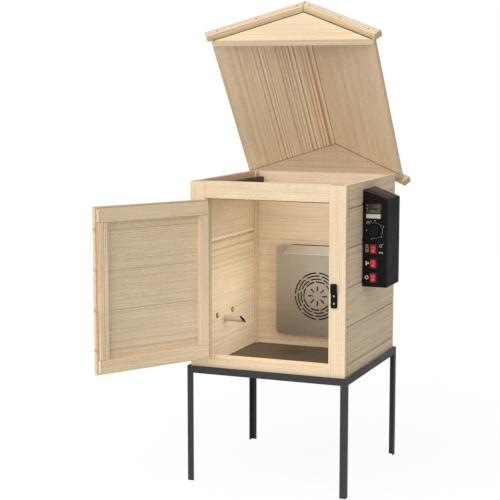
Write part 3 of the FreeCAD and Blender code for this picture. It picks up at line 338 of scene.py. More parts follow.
def makeSteel(name, look):
    material, tree, shader = newMaterial(name)
    place = objectPlace(tree)
    made = placeGroup(tree, brushedLines, {"Place": place, "Stretch": look["stretch"]})
    lines, cloud = made["Lines"], made["Cloud"]
    base = blendColour(tree, ramp(tree, lines, 0.3, 0.7), tint(*look["low"]), tint(*look["high"]))
    base = blendColour(tree, ramp(tree, cloud, 0.45, 0.75, 0.0, look["stain"]), base,
                       tint(*look["stained"]))
    if name == "coverSteel":
        # painted shade: the plate is darker towards its foot
        foot = ramp(tree, splitUp(tree, place)[2], *coverFootShadeHeights, 1.0, 0.0)
        base = blendColour(tree, foot, base, coverFootShade)
    worn = wearEdges(tree, base, tint(214, 212, 208), place, 0.5, 60.0)
    rough = plus(tree, spread(tree, lines, 0.25, 0.75, look["rough"], 0.06),
                 ramp(tree, cloud, 0.4, 0.8, 0.0, 0.08))
    finish(tree, shader, {"Base Color": worn, "Roughness": rough, "Metallic": look["metal"]}, lines,
           look["bump"] * mm, 0.5)
    return material


def makePlastic(name, look):
    material, tree, shader = newMaterial(name)
    place = objectPlace(tree)
    grit = placeGroup(tree, coatGrit, {"Place": place, "Size": look["grit"]})
    cloud = noise(tree, place, 30.0, 3.0)
    base = blendColour(tree, ramp(tree, cloud, 0.3, 0.7), tint(*look["colour"]), tint(*look["second"]))
    worn = wearEdges(tree, base, tint(*look["worn"]), place, look["wear"], 160.0)
    dusty = layDust(tree, worn, tint(*look["dust"]), place, look["dustAmount"], 25.0)
    rough = spread(tree, cloud, 0.3, 0.7, look["rough"], 0.04)
    finish(tree, shader, {"Base Color": dusty["Color"], "Roughness": rough, "Coat Roughness": 0.12,
                          "Coat Weight": look["coat"], "Specular IOR Level": look["gloss"]},
           grit["Height"], look["bump"] * mm, 0.5)
    return material


def makeLit(name, look):
    material, tree, shader = newMaterial(name)
    cells = noise(tree, objectPlace(tree), 1500.0, 1.0)
    glow = blendColour(tree, ramp(tree, cells, 0.35, 0.7), tint(*look["colour"]), tint(*look["second"]))
    finish(tree, shader, {"Base Color": glow, "Roughness": ramp(tree, cells, 0.3, 0.7, 0.35, 0.5),
                          "Emission Color": glow, "Emission Strength": look["strength"]})
    return material


# One row of settings for each material, in the order of the names above the rows; bump in millimetres
coatSettings = "colour pit worn dust wear dustAmount topDust grit rough bump gloss"
coatRows = {
    "seamShade": ((70, 50, 30), (52, 37, 22), (120, 92, 60), (130, 104, 72), 0.0, 0.1, 0.1, 900.0, 0.8,
                  0.01, 0.1),
    "grooveShade": ((134, 106, 72), (92, 70, 46), (150, 120, 84), (150, 126, 92), 0.0, 0.1, 0.1, 900.0,
                    0.8, 0.01, 0.1),
    "anthraciteCoat": ((62, 63, 64), (52, 53, 54), (120, 118, 114), (120, 112, 100), 0.35, 0.04, 0.12,
                       1500.0, 0.55, 0.02, 0.14),
    "boxCoat": ((27, 27, 27), (20, 20, 20), (84, 82, 80), (134, 120, 98), 0.25, 0.02, 0.78, 2200.0, 0.62,
                0.015, 0.05),
    "railCoat": ((46, 42, 36), (34, 31, 27), (96, 88, 76), (110, 98, 80), 0.4, 0.04, 0.3, 1500.0, 0.5,
                 0.02, 0.3),
    "blackBracketCoat": ((28, 28, 29), (21, 21, 22), (100, 96, 90), (96, 88, 76), 0.35, 0.03, 0.15, 1800.0,
                         0.6, 0.012, 0.05),
}
steelSettings = "low high stained stain stretch rough bump metal"
steelRows = {
    "coverSteel": ((176, 167, 153), (188, 179, 165), (160, 142, 118), 0.3, (6, 260, 520), 0.38, 0.003, 0.6),
    "floorSteel": ((96, 88, 78), (122, 112, 98), (78, 64, 50), 0.7, (120, 9, 120), 0.46, 0.012, 0.7),
    "canisterSteel": ((172, 170, 166), (204, 202, 198), (170, 150, 122), 0.35, (240, 240, 8), 0.3, 0.01,
                      0.95),
    "tubeSteel": ((216, 206, 190), (236, 228, 214), (206, 186, 156), 0.4, (10, 260, 260), 0.4, 0.006, 0.3),
    "sootedSteel": ((34, 28, 24), (50, 42, 36), (26, 20, 16), 0.6, (90, 90, 90), 0.7, 0.01, 0.1),
    "fanSteel": ((70, 62, 54), (92, 82, 72), (58, 46, 36), 0.7, (60, 60, 60), 0.55, 0.008, 0.5),
    "heaterSheath": ((62, 56, 52), (86, 78, 70), (74, 54, 40), 0.8, (60, 60, 60), 0.4, 0.01, 0.8),
    "zincPlate": ((176, 178, 178), (208, 209, 206), (186, 182, 160), 0.45, (90, 90, 14), 0.36, 0.01, 0.9),
    "nailSteel": ((40, 34, 30), (58, 50, 44), (60, 42, 28), 0.6, (400, 400, 400), 0.6, 0.01, 0.2),
    "screwSteel": ((198, 198, 196), (232, 232, 230), (200, 190, 160), 0.3, (500, 500, 500), 0.25, 0.006,
                   0.95),
}
plasticSettings = "colour second worn dust wear dustAmount grit rough bump coat gloss"
plasticRows = {
    "casePlastic": ((26, 26, 27), (31, 31, 31), (70, 70, 70), (110, 104, 96), 0.3, 0.04, 2600.0, 0.42,
                    0.01, 0.05, 0.5),
    "knobPlastic": ((17, 17, 17), (22, 22, 22), (60, 58, 56), (110, 104, 96), 0.5, 0.03, 3000.0, 0.5,
                    0.01, 0.0, 0.12),
    "redRockerPlastic": ((214, 34, 36), (226, 44, 44), (238, 92, 88), (200, 120, 110), 0.3, 0.03, 2600.0,
                         0.28, 0.004, 0.35, 0.5),
    "keyPlastic": ((214, 204, 194), (224, 214, 204), (236, 230, 222), (170, 158, 146), 0.4, 0.08, 2600.0,
                   0.45, 0.008, 0.0, 0.5),
    "smokedWindow": ((20, 16, 17), (26, 20, 21), (58, 54, 54), (90, 84, 80), 0.3, 0.05, 400.0, 0.12,
                     0.001, 0.5, 0.5),
    "panelPrint": ((238, 238, 234), (222, 222, 218), (190, 190, 188), (150, 146, 138), 0.5, 0.1, 2600.0,
                   0.6, 0.002, 0.0, 0.5),
    "unlitSegments": ((66, 54, 58), (78, 66, 68), (84, 66, 70), (96, 80, 80), 0.0, 0.05, 2600.0, 0.4,
                      0.001, 0.2, 0.5),
    "keyInk": ((74, 68, 64), (92, 86, 80), (130, 122, 114), (150, 140, 130), 0.0, 0.1, 2600.0, 0.6,
               0.001, 0.0, 0.5),
}
litSettings = "colour second strength"
litRows = {
    "redDigits": ((150, 52, 62), (178, 70, 76), 0.35), "greenDigits": ((58, 128, 72), (88, 160, 104), 0.35),
    "indicatorLamps": ((170, 172, 170), (196, 196, 190), 0.1),
}
surfaces["planedPine"] = makePine("planedPine")
for make, settings, rows in ((makeCoat, coatSettings, coatRows), (makeSteel, steelSettings, steelRows),
                             (makePlastic, plasticSettings, plasticRows), (makeLit, litSettings, litRows)):
    for name, row in rows.items():
        surfaces[name] = make(name, dict(zip(settings.split(), row)))
print("materials made")


# Dressing of the solids: a merged copy with eased edges, and each board's own grain

def connectedParts(sculpt):
    unseen = set(sculpt.verts)
    parts = []
    for seed in sculpt.verts:
        if seed not in unseen:
            continue
        unseen.discard(seed)
        queue, group = [seed], []
        while queue:
            vert = queue.pop()
            group.append(vert)
            for edge in vert.link_edges:
                other = edge.other_vert(vert)
                if other in unseen:
                    unseen.discard(other)
                    queue.append(other)
        parts.append(group)
    return parts


def groupMiddle(group):
    return sum((vert.co for vert in group), Vector()) / len(group)


def sortPlace(group):
    total = groupMiddle(group)
    return tuple(round(value, 4) for value in (total.z, total.x, total.y))


def boardAxes(group, faces):
    edges = {edge for vert in group for edge in vert.link_edges}
    longest = max(edges, key=lambda edge: (round(edge.calc_length(), 6), -edge.index))
    along = (longest.verts[1].co - longest.verts[0].co).normalized()
    if max(along, key=abs) < 0:
        along.negate()
    broad = max(faces, key=lambda face: (round(face.calc_area(), 8), -face.index))
    through = (broad.normal - along * broad.normal.dot(along)).normalized()
    return along, through.cross(along), through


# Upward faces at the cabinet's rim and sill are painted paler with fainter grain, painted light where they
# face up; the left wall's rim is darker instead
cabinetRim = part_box("stile_left")[1][2]
upFaceLightTones = {"sill_rail": 1.22, "stop_rails": 1.3, "wall_boards_left": 0.74}
upFaceLightLook = {"tone": 1.15, "figure": 0.05, "within": 1 * mm, "up": 0.5}
# What a board's settings mean where it names none; strong boards stand out with rings of their own
boardLook = {"tone": 1.0, "wild": 0.0, "spacing": 5.0, "strong": {}, "strongSpacing": 11.0,
             "joint": 0.0, "endJoint": 1.0, "end": 1.0}
calmed = 0.2


def markBoards(sculpt, nodeName, settings, edgeMask):
    look = {**boardLook, **settings}
    place = sculpt.verts.layers.float_vector.new("place")
    layers = {name: sculpt.faces.layers.float.new(name)
              for name in ("board", "figure", "wild", "spacing", "joint", "endCut")}
    for items in (sculpt.verts, sculpt.edges, sculpt.faces):
        items.index_update()
    for index, group in enumerate(sorted(connectedParts(sculpt), key=sortPlace)):
        chance = random.Random(nodeName + str(index))
        faces = {face for vert in group for face in vert.link_faces}
        along, across, through = boardAxes(group, faces)
        centre = groupMiddle(group)
        turn = chance.choice((-1, 1)) * chance.uniform(1.0, 1.45)
        if look["wild"] > 0.5 and index not in look["strong"]:
            turn = chance.uniform(-0.5, 0.5)
        pith = chance.uniform(0.09, 0.22)
        shift = Vector((chance.uniform(0, 9), pith * math.sin(turn), pith * math.cos(turn)))
        values = {"board": look["tone"] + chance.uniform(-0.02, 0.02),
                  "figure": max(0.0, look["figure"] + chance.uniform(-0.08, 0.08)),
                  "wild": look["wild"], "spacing": look["spacing"] * mm, "joint": look["joint"]}
        if index in look["strong"]:
            values.update(figure=look["strong"][index], spacing=look["strongSpacing"] * mm,
                          wild=look["wild"] * calmed)
        for vert in group:
            step = vert.co - centre
            vert[place] = Vector((step.dot(along), step.dot(across), step.dot(through))) + shift
        for face in faces:
            for name, value in values.items():
                face[layers[name]] = value
            lean = abs(face.normal.dot(along))
            if face[edgeMask] and 0.2 < lean < 0.97:
                face[layers["joint"]] = look["endJoint"]
            # upward faces at the rim and sill get painted light: a paler tone, faint grain and no dark joint
            # line
            atRim = abs(face.calc_center_median().z - cabinetRim) < upFaceLightLook["within"]
            if face.normal.z > upFaceLightLook["up"] and (atRim or nodeName in ("sill_rail", "stop_rails")):
                face[layers["joint"]] = 0.0
                face[layers["board"]] = upFaceLightTones.get(nodeName, upFaceLightLook["tone"])
                face[layers["figure"]] = upFaceLightLook["figure"]
            face[layers["endCut"]] = look["end"] if lean > 0.9 else 0.0


def makePiece(name, sculpt, material, smoothTo):
    mesh = bpy.data.meshes.new(name)
    sculpt.to_mesh(mesh)
    sculpt.free()
    for layer in [item for item in mesh.attributes if item.name == "custom_normal"]:
        mesh.attributes.remove(layer)
    piece = bpy.data.objects.new(name, mesh)
    bpy.context.scene.collection.objects.link(piece)
    mesh.materials.append(surfaces[material])
    mesh.polygons.foreach_set("use_smooth", [True] * len(mesh.polygons))
    mesh.set_sharp_from_angle(angle=math.radians(smoothTo))
    return piece


pieceByNode = {}
dressing = {"merge": 0.001 * mm, "flat": math.radians(0.5), "sharp": math.radians(32), "smoothTo": 40}
rockerBodies = {"rocker_heater": "heater_switch", "rocker_fan": "fan_switch", "rocker_smoke": "smoke_switch"}
rockerShare = 0.86
rockerInset = 0.3 * mm


def dressNode(nodeName, material, ease, segments=1, boards=None):
    source = frame["nodes"][nodeName]
    sculpt = bmesh.new()
    sculpt.from_mesh(source.data)
    bmesh.ops.remove_doubles(sculpt, verts=sculpt.verts, dist=dressing["merge"])
    bmesh.ops.dissolve_limit(sculpt, angle_limit=dressing["flat"], verts=sculpt.verts, edges=sculpt.edges,
                             delimit={"NORMAL"})
    edgeMask = sculpt.faces.layers.float.new("edge")
    sharp = [edge for edge in sculpt.edges
             if len(edge.link_faces) == 2 and edge.calc_face_angle(0) > dressing["sharp"]]
    if ease and sharp:
        made = bmesh.ops.bevel(sculpt, geom=sharp, offset=ease * mm, offset_type="OFFSET",
                               segments=segments, profile=0.5, affect="EDGES", material=-1,
                               clamp_overlap=True)
        for face in made["faces"]:
            face[edgeMask] = 1.0
    if nodeName in rockerBodies:
        # the rockers show a little of their frames beside them
        left = min(vert.co.x for vert in sculpt.verts)
        bmesh.ops.scale(sculpt, verts=sculpt.verts, vec=(rockerShare, 1, 1),
                        space=Matrix.Translation((-left - rockerInset, 0, 0)))
    if boards:
        markBoards(sculpt, nodeName, boards, edgeMask)
    piece = makePiece(nodeName + "Dressed", sculpt, material, dressing["smoothTo"])
    weighted = piece.modifiers.new("flatFaces", "WEIGHTED_NORMAL")
    weighted.keep_sharp = True
    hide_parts(nodeName)
    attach(piece, source["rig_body"])
    pieceByNode[nodeName] = piece


boardPieces = {
    "stile_left": {"figure": 0.3, "endJoint": 0.35}, "stile_right": {"figure": 0.25, "endJoint": 0.15},
    "top_rail": {"figure": 0.22, "endJoint": 0.12, "spacing": 4.2},
    # the corner posts' low tone is painted shade in the chamber's corners
    "sill_rail": {"figure": 0.3, "endJoint": 0.35}, "corner_posts": {"figure": 0.3, "tone": 0.85},
    "stop_rails": {"figure": 0.3},
    "wall_boards_left": {"figure": 0.28, "strong": {3: 0.68}, "strongSpacing": 18.0, "joint": 0.8,
                         "tone": 1.04},
    "wall_boards_right": {"figure": 0.42, "wild": 0.9, "tone": 0.95, "spacing": 8.0, "joint": 0.4,
                          "strong": {1: 0.75}, "strongSpacing": 6.5},
    "wall_boards_rear": {"figure": 0.26, "joint": 0.6, "end": 0.3, "tone": 1.02},
    "door_boards": {"figure": 0.36, "tone": 0.95, "joint": 0.4, "end": 0.0, "spacing": 7.0},
    "door_stiles": {"figure": 0.25, "strong": {0: 0.85}, "strongSpacing": 7.0},
    "door_rails": {"figure": 0.2, "end": 0.0},
    "roof_boards_left": {"figure": 0.5, "strong": {0: 0.72, 1: 1.0}, "strongSpacing": 10.0, "joint": 0.6},
    "roof_boards_right": {"figure": 0.3, "joint": 0.5, "tone": 0.93},
    # the front gable's raised tone is painted light, the rear gable's low tone painted shade under the open
    # lid
    "gable_front": {"figure": 0.3, "tone": 1.04}, "gable_rear": {"figure": 0.45, "wild": 0.4, "tone": 0.71},
    "bargeboards": {"figure": 0.4, "tone": 0.95, "strong": {3: 0.9}, "strongSpacing": 7.0},
    "hinge_batten": {"figure": 0.3},
}
boardEase, boardSegments = 0.7, 2
for nodeName, look in boardPieces.items():
    dressNode(nodeName, "planedPine", boardEase, boardSegments, look)
print("boards dressed")

# Material, slot, easing of the edges in millimetres, and the nodes that take them
otherPieces = [
    ("anthraciteCoat", "anthracite_paint", 0.4,
     "stand_ring leg_front_left leg_front_right leg_rear_left leg_rear_right"),
    ("railCoat", "anthracite_paint", 0.4, "hanging_rails"),
    ("boxCoat", "black_paint", 0.5, "control_box"),
    ("blackBracketCoat", "black_paint", 0.3, "door_handle latch_keeper latch_bar latch_pivot_plate"),
    ("coverSteel", "stainless", 0.25, "fan_cover"),
    ("floorSteel", "stainless", 0.3, "floor_plate"),
    ("canisterSteel", "stainless", 0.3, "smoke_canister smoke_cap ash_cup"),
    ("tubeSteel", "stainless", 0.2, "temperature_probe smoke_bolts dial_shaft"),
    ("fanSteel", "stainless", 0.2, "fan_impeller"),
    ("heaterSheath", "stainless", 0.0, "heater_ring"),
    ("zincPlate", "stainless", 0.3, "motor_cover"),
    ("zincPlate", "zinc_steel", 0.2, "door_hinge_leaves frame_hinge_leaves door_hinge_pins "
     "lid_hinge_leaves back_hinge_leaves lid_hinge_pins motor_body"),
    ("casePlastic", "black_plastic", 0.2, "controller_case dial_body rocker_frames cable_gland"),
    ("knobPlastic", "black_plastic", 0.25, "dial_knob"),
    ("redRockerPlastic", "red_plastic", 0.3, "rocker_heater rocker_fan rocker_smoke"),
    ("keyPlastic", "grey_plastic", 0.0, "key_set key_shift key_down key_up"),
    ("smokedWindow", "dark_lens", 0.15, "controller_lens"),
]
for material, slot, ease, names in otherPieces:
    for nodeName in names.split():
        dressNode(nodeName, material, ease)
print("metal and plastic parts dressed")


smokeTube = {"y": -29.6, "z": 489.4, "wall": 9.4}


def brightenTube():
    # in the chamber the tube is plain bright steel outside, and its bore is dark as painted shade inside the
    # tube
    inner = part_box("wall_boards_left")[1][0]
    mesh = pieceByNode["smoke_canister"].data
    for material in ("tubeSteel", "sootedSteel"):
        mesh.materials.append(surfaces[material])
    for face in mesh.polygons:
        if face.center.x > inner:
            out = Vector((0, face.center.y - smokeTube["y"] * mm, face.center.z - smokeTube["z"] * mm))
            bore = face.normal.dot(out) < 0 and out.length < smokeTube["wall"] * mm
            face.material_index = 2 if bore else 1


brightenTube()


# Small pieces made by hand: fasteners, dark strips, tabs and rings that are mostly painted shadow, and one
# strip of painted highlight

def settle(name, sculpt, material, body):
    bmesh.ops.remove_doubles(sculpt, verts=sculpt.verts, dist=0.002 * mm)
    bmesh.ops.recalc_face_normals(sculpt, faces=sculpt.faces)
    piece = makePiece(name, sculpt, material, 35)
    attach(piece, body)


def facing(point, outward):
    turn = Vector((0, 0, 1)).rotation_difference(Vector(outward)).to_matrix().to_4x4()
    return Matrix.Translation(Vector(point) * mm) @ turn


def sized(x, y, z=1.0):
    return Matrix.Diagonal((x, y, z, 1.0))


def spinOutline(sculpt, outline, steps, place, closed=False):
    # turns an outline of radii and heights in millimetres round its own axis, then sets it in place
    known = set(sculpt.verts)
    verts = [sculpt.verts.new((radius * mm, 0, height * mm)) for radius, height in outline]
    ends = verts[1:] + verts[:1] if closed else verts[1:]
    edges = [sculpt.edges.new(pair) for pair in zip(verts, ends)]
    bmesh.ops.spin(sculpt, geom=verts + edges, cent=(0, 0, 0), axis=(0, 0, 1), angle=math.tau,
                   steps=steps, use_merge=True)
    fresh = [vert for vert in sculpt.verts if vert not in known]
    bmesh.ops.transform(sculpt, matrix=place, verts=fresh)


def ringOutline(inner, outer, thick):
    return [(inner, 0.0), (outer, 0.0), (outer, thick), (inner, thick)]


# How far a fastener's head reaches down past its surface
sunk = 0.4


def addNail(sculpt, point, outward, look):
    radius, height = look["radius"], look["height"]
    outline = [(radius, -sunk), (radius, height * 0.45), (radius * 0.8, height), (0, height * 0.86)]
    spinOutline(sculpt, outline, look["steps"], facing(point, outward))


def drawRing(sculpt, edges, wide, level):
    # extrudes a ring of edges to another width and level, and gives the new ring
    grown = bmesh.ops.extrude_edge_only(sculpt, edges=edges)["geom"]
    verts = [item for item in grown if isinstance(item, bmesh.types.BMVert)]
    for vert in verts:
        vert.co = Vector((vert.co.x * wide, vert.co.y * wide, level))
    return [item for item in grown if isinstance(item, bmesh.types.BMEdge)
            and item.verts[0] in verts and item.verts[1] in verts]


headShape = {"segments": 12, "flat": 0.72, "arm": 0.5, "taper": 0.7, "recess": 0.35}


def addScrew(sculpt, point, outward, look, turn):
    radius, height, half = look["radius"] * mm, look["height"] * mm, look["slot"] / 2 * mm
    shape, known = headShape, set(sculpt.verts)
    rim = bmesh.ops.create_circle(sculpt, segments=shape["segments"], radius=radius * shape["flat"],
                                  matrix=Matrix.Translation((0, 0, height)))["verts"]
    rimEdges = [edge for edge in sculpt.edges if edge.verts[0] in rim and edge.verts[1] in rim]
    # skirt of the head, let a little way down past the surface
    skirt = drawRing(sculpt, rimEdges, 1 / shape["flat"], height * 0.5)
    drawRing(sculpt, skirt, 1.0, -sunk * mm)
    # cross recess
    arm = radius * shape["arm"]
    corners = [(arm, -half), (arm, half), (half, half)]
    while len(corners) < shape["segments"]:
        corners += [(-y, x) for x, y in corners[-3:]]
    cross = [sculpt.verts.new((x, y, height)) for x, y in corners]
    crossEdges = [sculpt.edges.new(pair) for pair in zip(cross, cross[1:] + cross[:1])]
    bmesh.ops.bridge_loops(sculpt, edges=rimEdges + crossEdges)
    floorEdges = drawRing(sculpt, crossEdges, shape["taper"], height * shape["recess"])
    bmesh.ops.contextual_create(sculpt, geom=floorEdges)
    fresh = [vert for vert in sculpt.verts if vert not in known]
    bmesh.ops.transform(sculpt, matrix=facing(point, outward) @ Matrix.Rotation(turn, 4, "Z"), verts=fresh)


# Turned places: the door and the lid are set out as when shut, then moved to where they stand

joints = {joint["name"]: joint for joint in frame["joints"]}
shutTurns = {"door_hinge": -120.0, "lid_hinge": 53.3}


def swungPlace(jointName, point, outward):
    joint = joints[jointName]
    pivot = Vector(joint["pos_m"]) / mm
    turn = Matrix.Rotation(math.radians(shutTurns[jointName]), 3, Vector(joint["axis"]))
    return tuple(pivot + turn @ (Vector(point) - pivot)), tuple(turn @ Vector(outward))


def onDoor(point, outward):
    return swungPlace("door_hinge", point, outward)


def onLid(point, outward):
    return swungPlace("lid_hinge", point, outward)


def stay(point, outward):
    return point, outward


front, rearward = (0, -1, 0), (0, 1, 0)
lidPitch = math.radians(30.0)
lidRidge = 1108.1


def slopeSpot(side, reach, rise, y):
    # a place on the lid's slope, so far down from the ridge and so far out of the boards' undersides
    level = lidRidge + rise / math.cos(lidPitch) - reach * math.sin(lidPitch)
    return side * reach * math.cos(lidPitch), y, level


nailLook = {"radius": 2.8, "height": 0.4, "steps": 12}
nailStray = 1.5
wallNails = {"halfWidth": 256.0, "front": -236.0, "rear": 228.0, "spread": 20.0,
             "sideJoints": (408.5, 528.5, 648.5, 768.5, 888.5), "rearFace": 260.5, "rearX": 246.0,
             "rearJoints": (459.5, 579.5, 699.5, 819.5)}


def makeWallNails():
    sculpt = bmesh.new()
    chance = random.Random("wallNails")
    look = wallNails

    def stray():
        return chance.uniform(-nailStray, nailStray)

    for side in (-1, 1):
        for joint in look["sideJoints"]:
            for step in (-look["spread"], look["spread"]):
                for y in (look["front"], look["rear"]):
                    spot = (side * look["halfWidth"], y + stray(), joint + step + stray())
                    addNail(sculpt, spot, (side, 0, 0), nailLook)
        for joint in look["rearJoints"]:
            for step in (-look["spread"], look["spread"]):
                spot = (side * look["rearX"] + stray(), look["rearFace"], joint + step + stray())
                addNail(sculpt, spot, rearward, nailLook)
    settle("wallNails", sculpt, "nailSteel", "cabinet")


lidNails = {"bargeFace": 305.5, "bargeMiddle": 12.9, "bargeSteps": (24.0, 164.0, 293.0),
            "roofTop": 18.0, "gableLine": 274.5, "roofSteps": (28.0, 96.0, 146.0, 216.0, 266.0, 304.0)}


def makeLidNails():
    sculpt = bmesh.new()
    chance = random.Random("lidNails")
    look = lidNails
    for side in (-1, 1):
        for end in (-1, 1):
            for step in look["bargeSteps"]:
                reach = step + chance.uniform(-nailStray, nailStray)
                spot = slopeSpot(side, reach, look["bargeMiddle"], end * look["bargeFace"])
                addNail(sculpt, *onLid(spot, (0, end, 0)), nailLook)
            for step in look["roofSteps"]:
                spot = slopeSpot(side, step, look["roofTop"], end * look["gableLine"])
                addNail(sculpt, *onLid(spot, (side * math.sin(lidPitch), 0, math.cos(lidPitch))), nailLook)
    settle("lidNails", sculpt, "nailSteel", "lid")


hingeLevels = (498.0, 534.0, 778.0, 814.0)
screwLook = {"radius": 3.3, "height": 1.3, "slot": 0.9}
keeperScrewLook = {"radius": 2.6, "height": 1.0, "slot": 0.8}
# Each set of screws: its piece, its body, how it moves with the body, its look, and the screws' places
screwSets = (
    ("cabinetScrews", "cabinet", stay, screwLook,
     [((x, -262.1, z), front) for x in (-218.0, -231.0) for z in hingeLevels]
     + [((x, 261.7, z), rearward) for x in (-81.0, 81.0) for z in (452.0, 590.0)]),
    ("keeperScrews", "cabinet", stay, keeperScrewLook,
     [((220.5, -263.5, z), front) for z in (602.2, 625.4)]),
    ("doorScrews", "door", onDoor, screwLook,
     [((x, -262.6, z), front) for x in (-193.0, -180.0) for z in hingeLevels]
     + [((x, -262.5, z), front) for x in (113.0, 143.0) for z in (630.3, 660.3)]),
)


def makeScrews():
    chance = random.Random("screws")
    for name, body, place, look, spots in screwSets:
        sculpt = bmesh.new()
        for point, outward in spots:
            addScrew(sculpt, *place(point, outward), look, chance.uniform(0, math.pi))
        settle(name, sculpt, "screwSteel", body)


# dark tabs at the box's left edge stand in for painted shade where the V joints of the wall boards meet the
# box
boxGrooveShadeTabs = {"levels": (893.0, 780.0, 650.0), "reach": 7.5, "width": 9.0, "thick": 1.5, "inset": 1.5,
           "corner": 3.0, "segments": 4}


def makeBoxTabs():
    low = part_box("control_box")[0]
    look = boxGrooveShadeTabs
    sculpt = bmesh.new()
    for level in look["levels"]:
        out = look["reach"] / 2 - look["inset"]
        middle = (low[0] + look["thick"] / 2 * mm, low[1] - out * mm, level * mm)
        size = (look["thick"] * mm, look["reach"] * mm, look["width"] * mm)
        bmesh.ops.create_cube(sculpt, size=1.0, matrix=Matrix.Translation(middle) @ sized(*size))
    corners = [edge for edge in sculpt.edges
               if abs(edge.verts[0].co.x - edge.verts[1].co.x) > 0.5 * mm and edge.verts[0].co.y < low[1]]
    bmesh.ops.bevel(sculpt, geom=corners, offset=look["corner"] * mm, offset_type="OFFSET",
                    segments=look["segments"], profile=0.5, affect="EDGES", material=-1)
    settle("boxGrooveShadeTabs", sculpt, "boxCoat", "cabinet")


stripProud = 0.3


def makeStrips(name, material, body, place, strips):
    # bars a hair proud of a face, for dark joint lines, painted shadow lines and a painted highlight; each
    # has ends, outward and width
    sculpt = bmesh.new()
    for start, end, outward, width in strips:
        start, end = [Vector(place(point, outward)[0]) for point in (start, end)]
        outward = Vector(place(start, outward)[1])
        along = (end - start).normalized()
        turn = Matrix((along, outward.cross(along), outward)).transposed().to_4x4()
        size = ((end - start).length * mm, width * mm, stripProud * 2 * mm)
        bmesh.ops.create_cube(sculpt, size=1.0, matrix=Matrix.Translation((start + end) / 2 * mm)
                              @ turn @ sized(*size))
    settle(name, sculpt, material, body)


def levelStrip(half, y, z, outward, width):
    return (-half, y, z), (half, y, z), outward, width


jointShadowLook = {"barge": 3.2, "bargeReach": 310.0, "gable": 1.6, "gableReach": 312.0, "mitre": 1.0,
            "bargeBelow": 1.6, "mitreEnd": 24.9, "frontGable": -285.5, "bargeFace": -305.5,
            "rearGable": 263.5, "door": 1.2, "doorMiddle": -245.0, "doorHalf": 195.0,
            "doorLevels": (901.4, 410.5), "lintel": 3.2, "lintelFoot": 907.6, "stopFace": -242.5,
            "stopHalf": 202.0, "groove": 1.5, "sunk": 0.4}
coverLightLineLook = {"lipHalf": 103.0, "lipTop": 709.9, "wallFace": 242.5, "shade": 2.8, "bendHalf": 125.0,
             "bendLevel": 681.8, "face": 216.5, "bend": 2.6}


def makeSeams():
    look = jointShadowLook
    strips = []
    # painted shadow under the bargeboards on the front gable and in the lid's corner along the rear gable,
    # then a dark line on the bargeboards' mitre
    for side in (-1, 1):
        for width, edge, reach, y in (
                (look["barge"], -look["bargeBelow"], look["bargeReach"], look["frontGable"]),
                (look["gable"], 0.0, look["gableReach"], look["rearGable"])):
            below = edge - width / 2
            reach += below * math.tan(lidPitch)
            strips.append((slopeSpot(side, 0, below, y), slopeSpot(side, reach, below, y), front, width))
    mitre = [slopeSpot(1, 0, rise, look["bargeFace"]) for rise in (-look["bargeBelow"], look["mitreEnd"])]
    strips.append((*mitre, front, look["mitre"]))
    makeStrips("lidShadowLines", "seamShade", "lid", onLid, strips)
    # painted shadow lines in the corners where the door's rails meet its boards, on the inner face
    makeStrips("doorCornerShadows", "seamShade", "door", onDoor,
               [levelStrip(look["doorHalf"], look["doorMiddle"], level, rearward, look["door"])
                for level in look["doorLevels"]])
    # a painted shadow line on the stop rail just under the lintel
    level = look["lintelFoot"] - look["lintel"] / 2
    makeStrips("lintelShadowLine", "grooveShade", "cabinet", stay,
               [levelStrip(look["stopHalf"], look["stopFace"], level, front, look["lintel"])])
    # painted shade in the bottoms of the V joints between the wall boards, sunk under the boards' faces
    half, deep = wallNails["halfWidth"], look["stopFace"]
    strips = [((side * (half - look["sunk"]), deep, level), (side * (half - look["sunk"]), -deep, level),
               (side, 0, 0), look["groove"]) for side in (-1, 1) for level in wallNails["sideJoints"]]
    strips += [levelStrip(half, wallNails["rearFace"] - look["sunk"], level, rearward, look["groove"])
               for level in wallNails["rearJoints"]]
    makeStrips("wallGrooveShadows", "grooveShade", "cabinet", stay, strips)


def makeCoverLines():
    # a painted shadow on the wall just above the cover's lip, and a painted highlight along the lip's bend
    look = coverLightLineLook
    makeStrips("coverLipShadow", "grooveShade", "cabinet", stay,
               [levelStrip(look["lipHalf"], look["wallFace"], look["lipTop"], front, look["shade"])])
    makeStrips("coverBendHighlight", "tubeSteel", "cabinet", stay,
               [levelStrip(look["bendHalf"], look["face"], look["bendLevel"], front, look["bend"])])


boltShadowLook = {"inner": 3.2, "outer": 9.0, "thick": 0.9, "steps": 24, "wallFace": -238.0,
              "places": ((-92.95, 508.0), (33.75, 508.0))}


def makeWashers():
    # dark rings under the nuts of the smoke tube's bolts, painted shadow around the nuts
    look = boltShadowLook
    sculpt = bmesh.new()
    outline = ringOutline(look["inner"], look["outer"], look["thick"])
    for y, z in look["places"]:
        spinOutline(sculpt, outline, look["steps"], facing((look["wallFace"], y, z), (1, 0, 0)), True)
    settle("boltShadowRings", sculpt, "knobPlastic", "cabinet")


shieldLook = {"bore": 9.0, "radius": 112.0, "thick": 1.0, "steps": 64}


def makeHeatShield():
    # thin disc that keeps the ring's heat off the pine behind it
    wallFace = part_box("wall_boards_rear")[0][1] / mm
    low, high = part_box("fan_impeller")
    look = shieldLook
    sculpt = bmesh.new()
    spinOutline(sculpt, ringOutline(look["bore"], look["radius"], look["thick"]), look["steps"],
                facing((0, wallFace, (low[2] + high[2]) / 2 / mm), front), True)
    settle("fanHeatShield", sculpt, "fanSteel", "cabinet")


makeWallNails()
makeLidNails()
makeScrews()
makeBoxTabs()
makeHeatShield()
makeSeams()
makeCoverLines()
makeWashers()
print("nails, screws and small plates set")


# Marks on the control box, as flat strokes of print a hair above the sheet

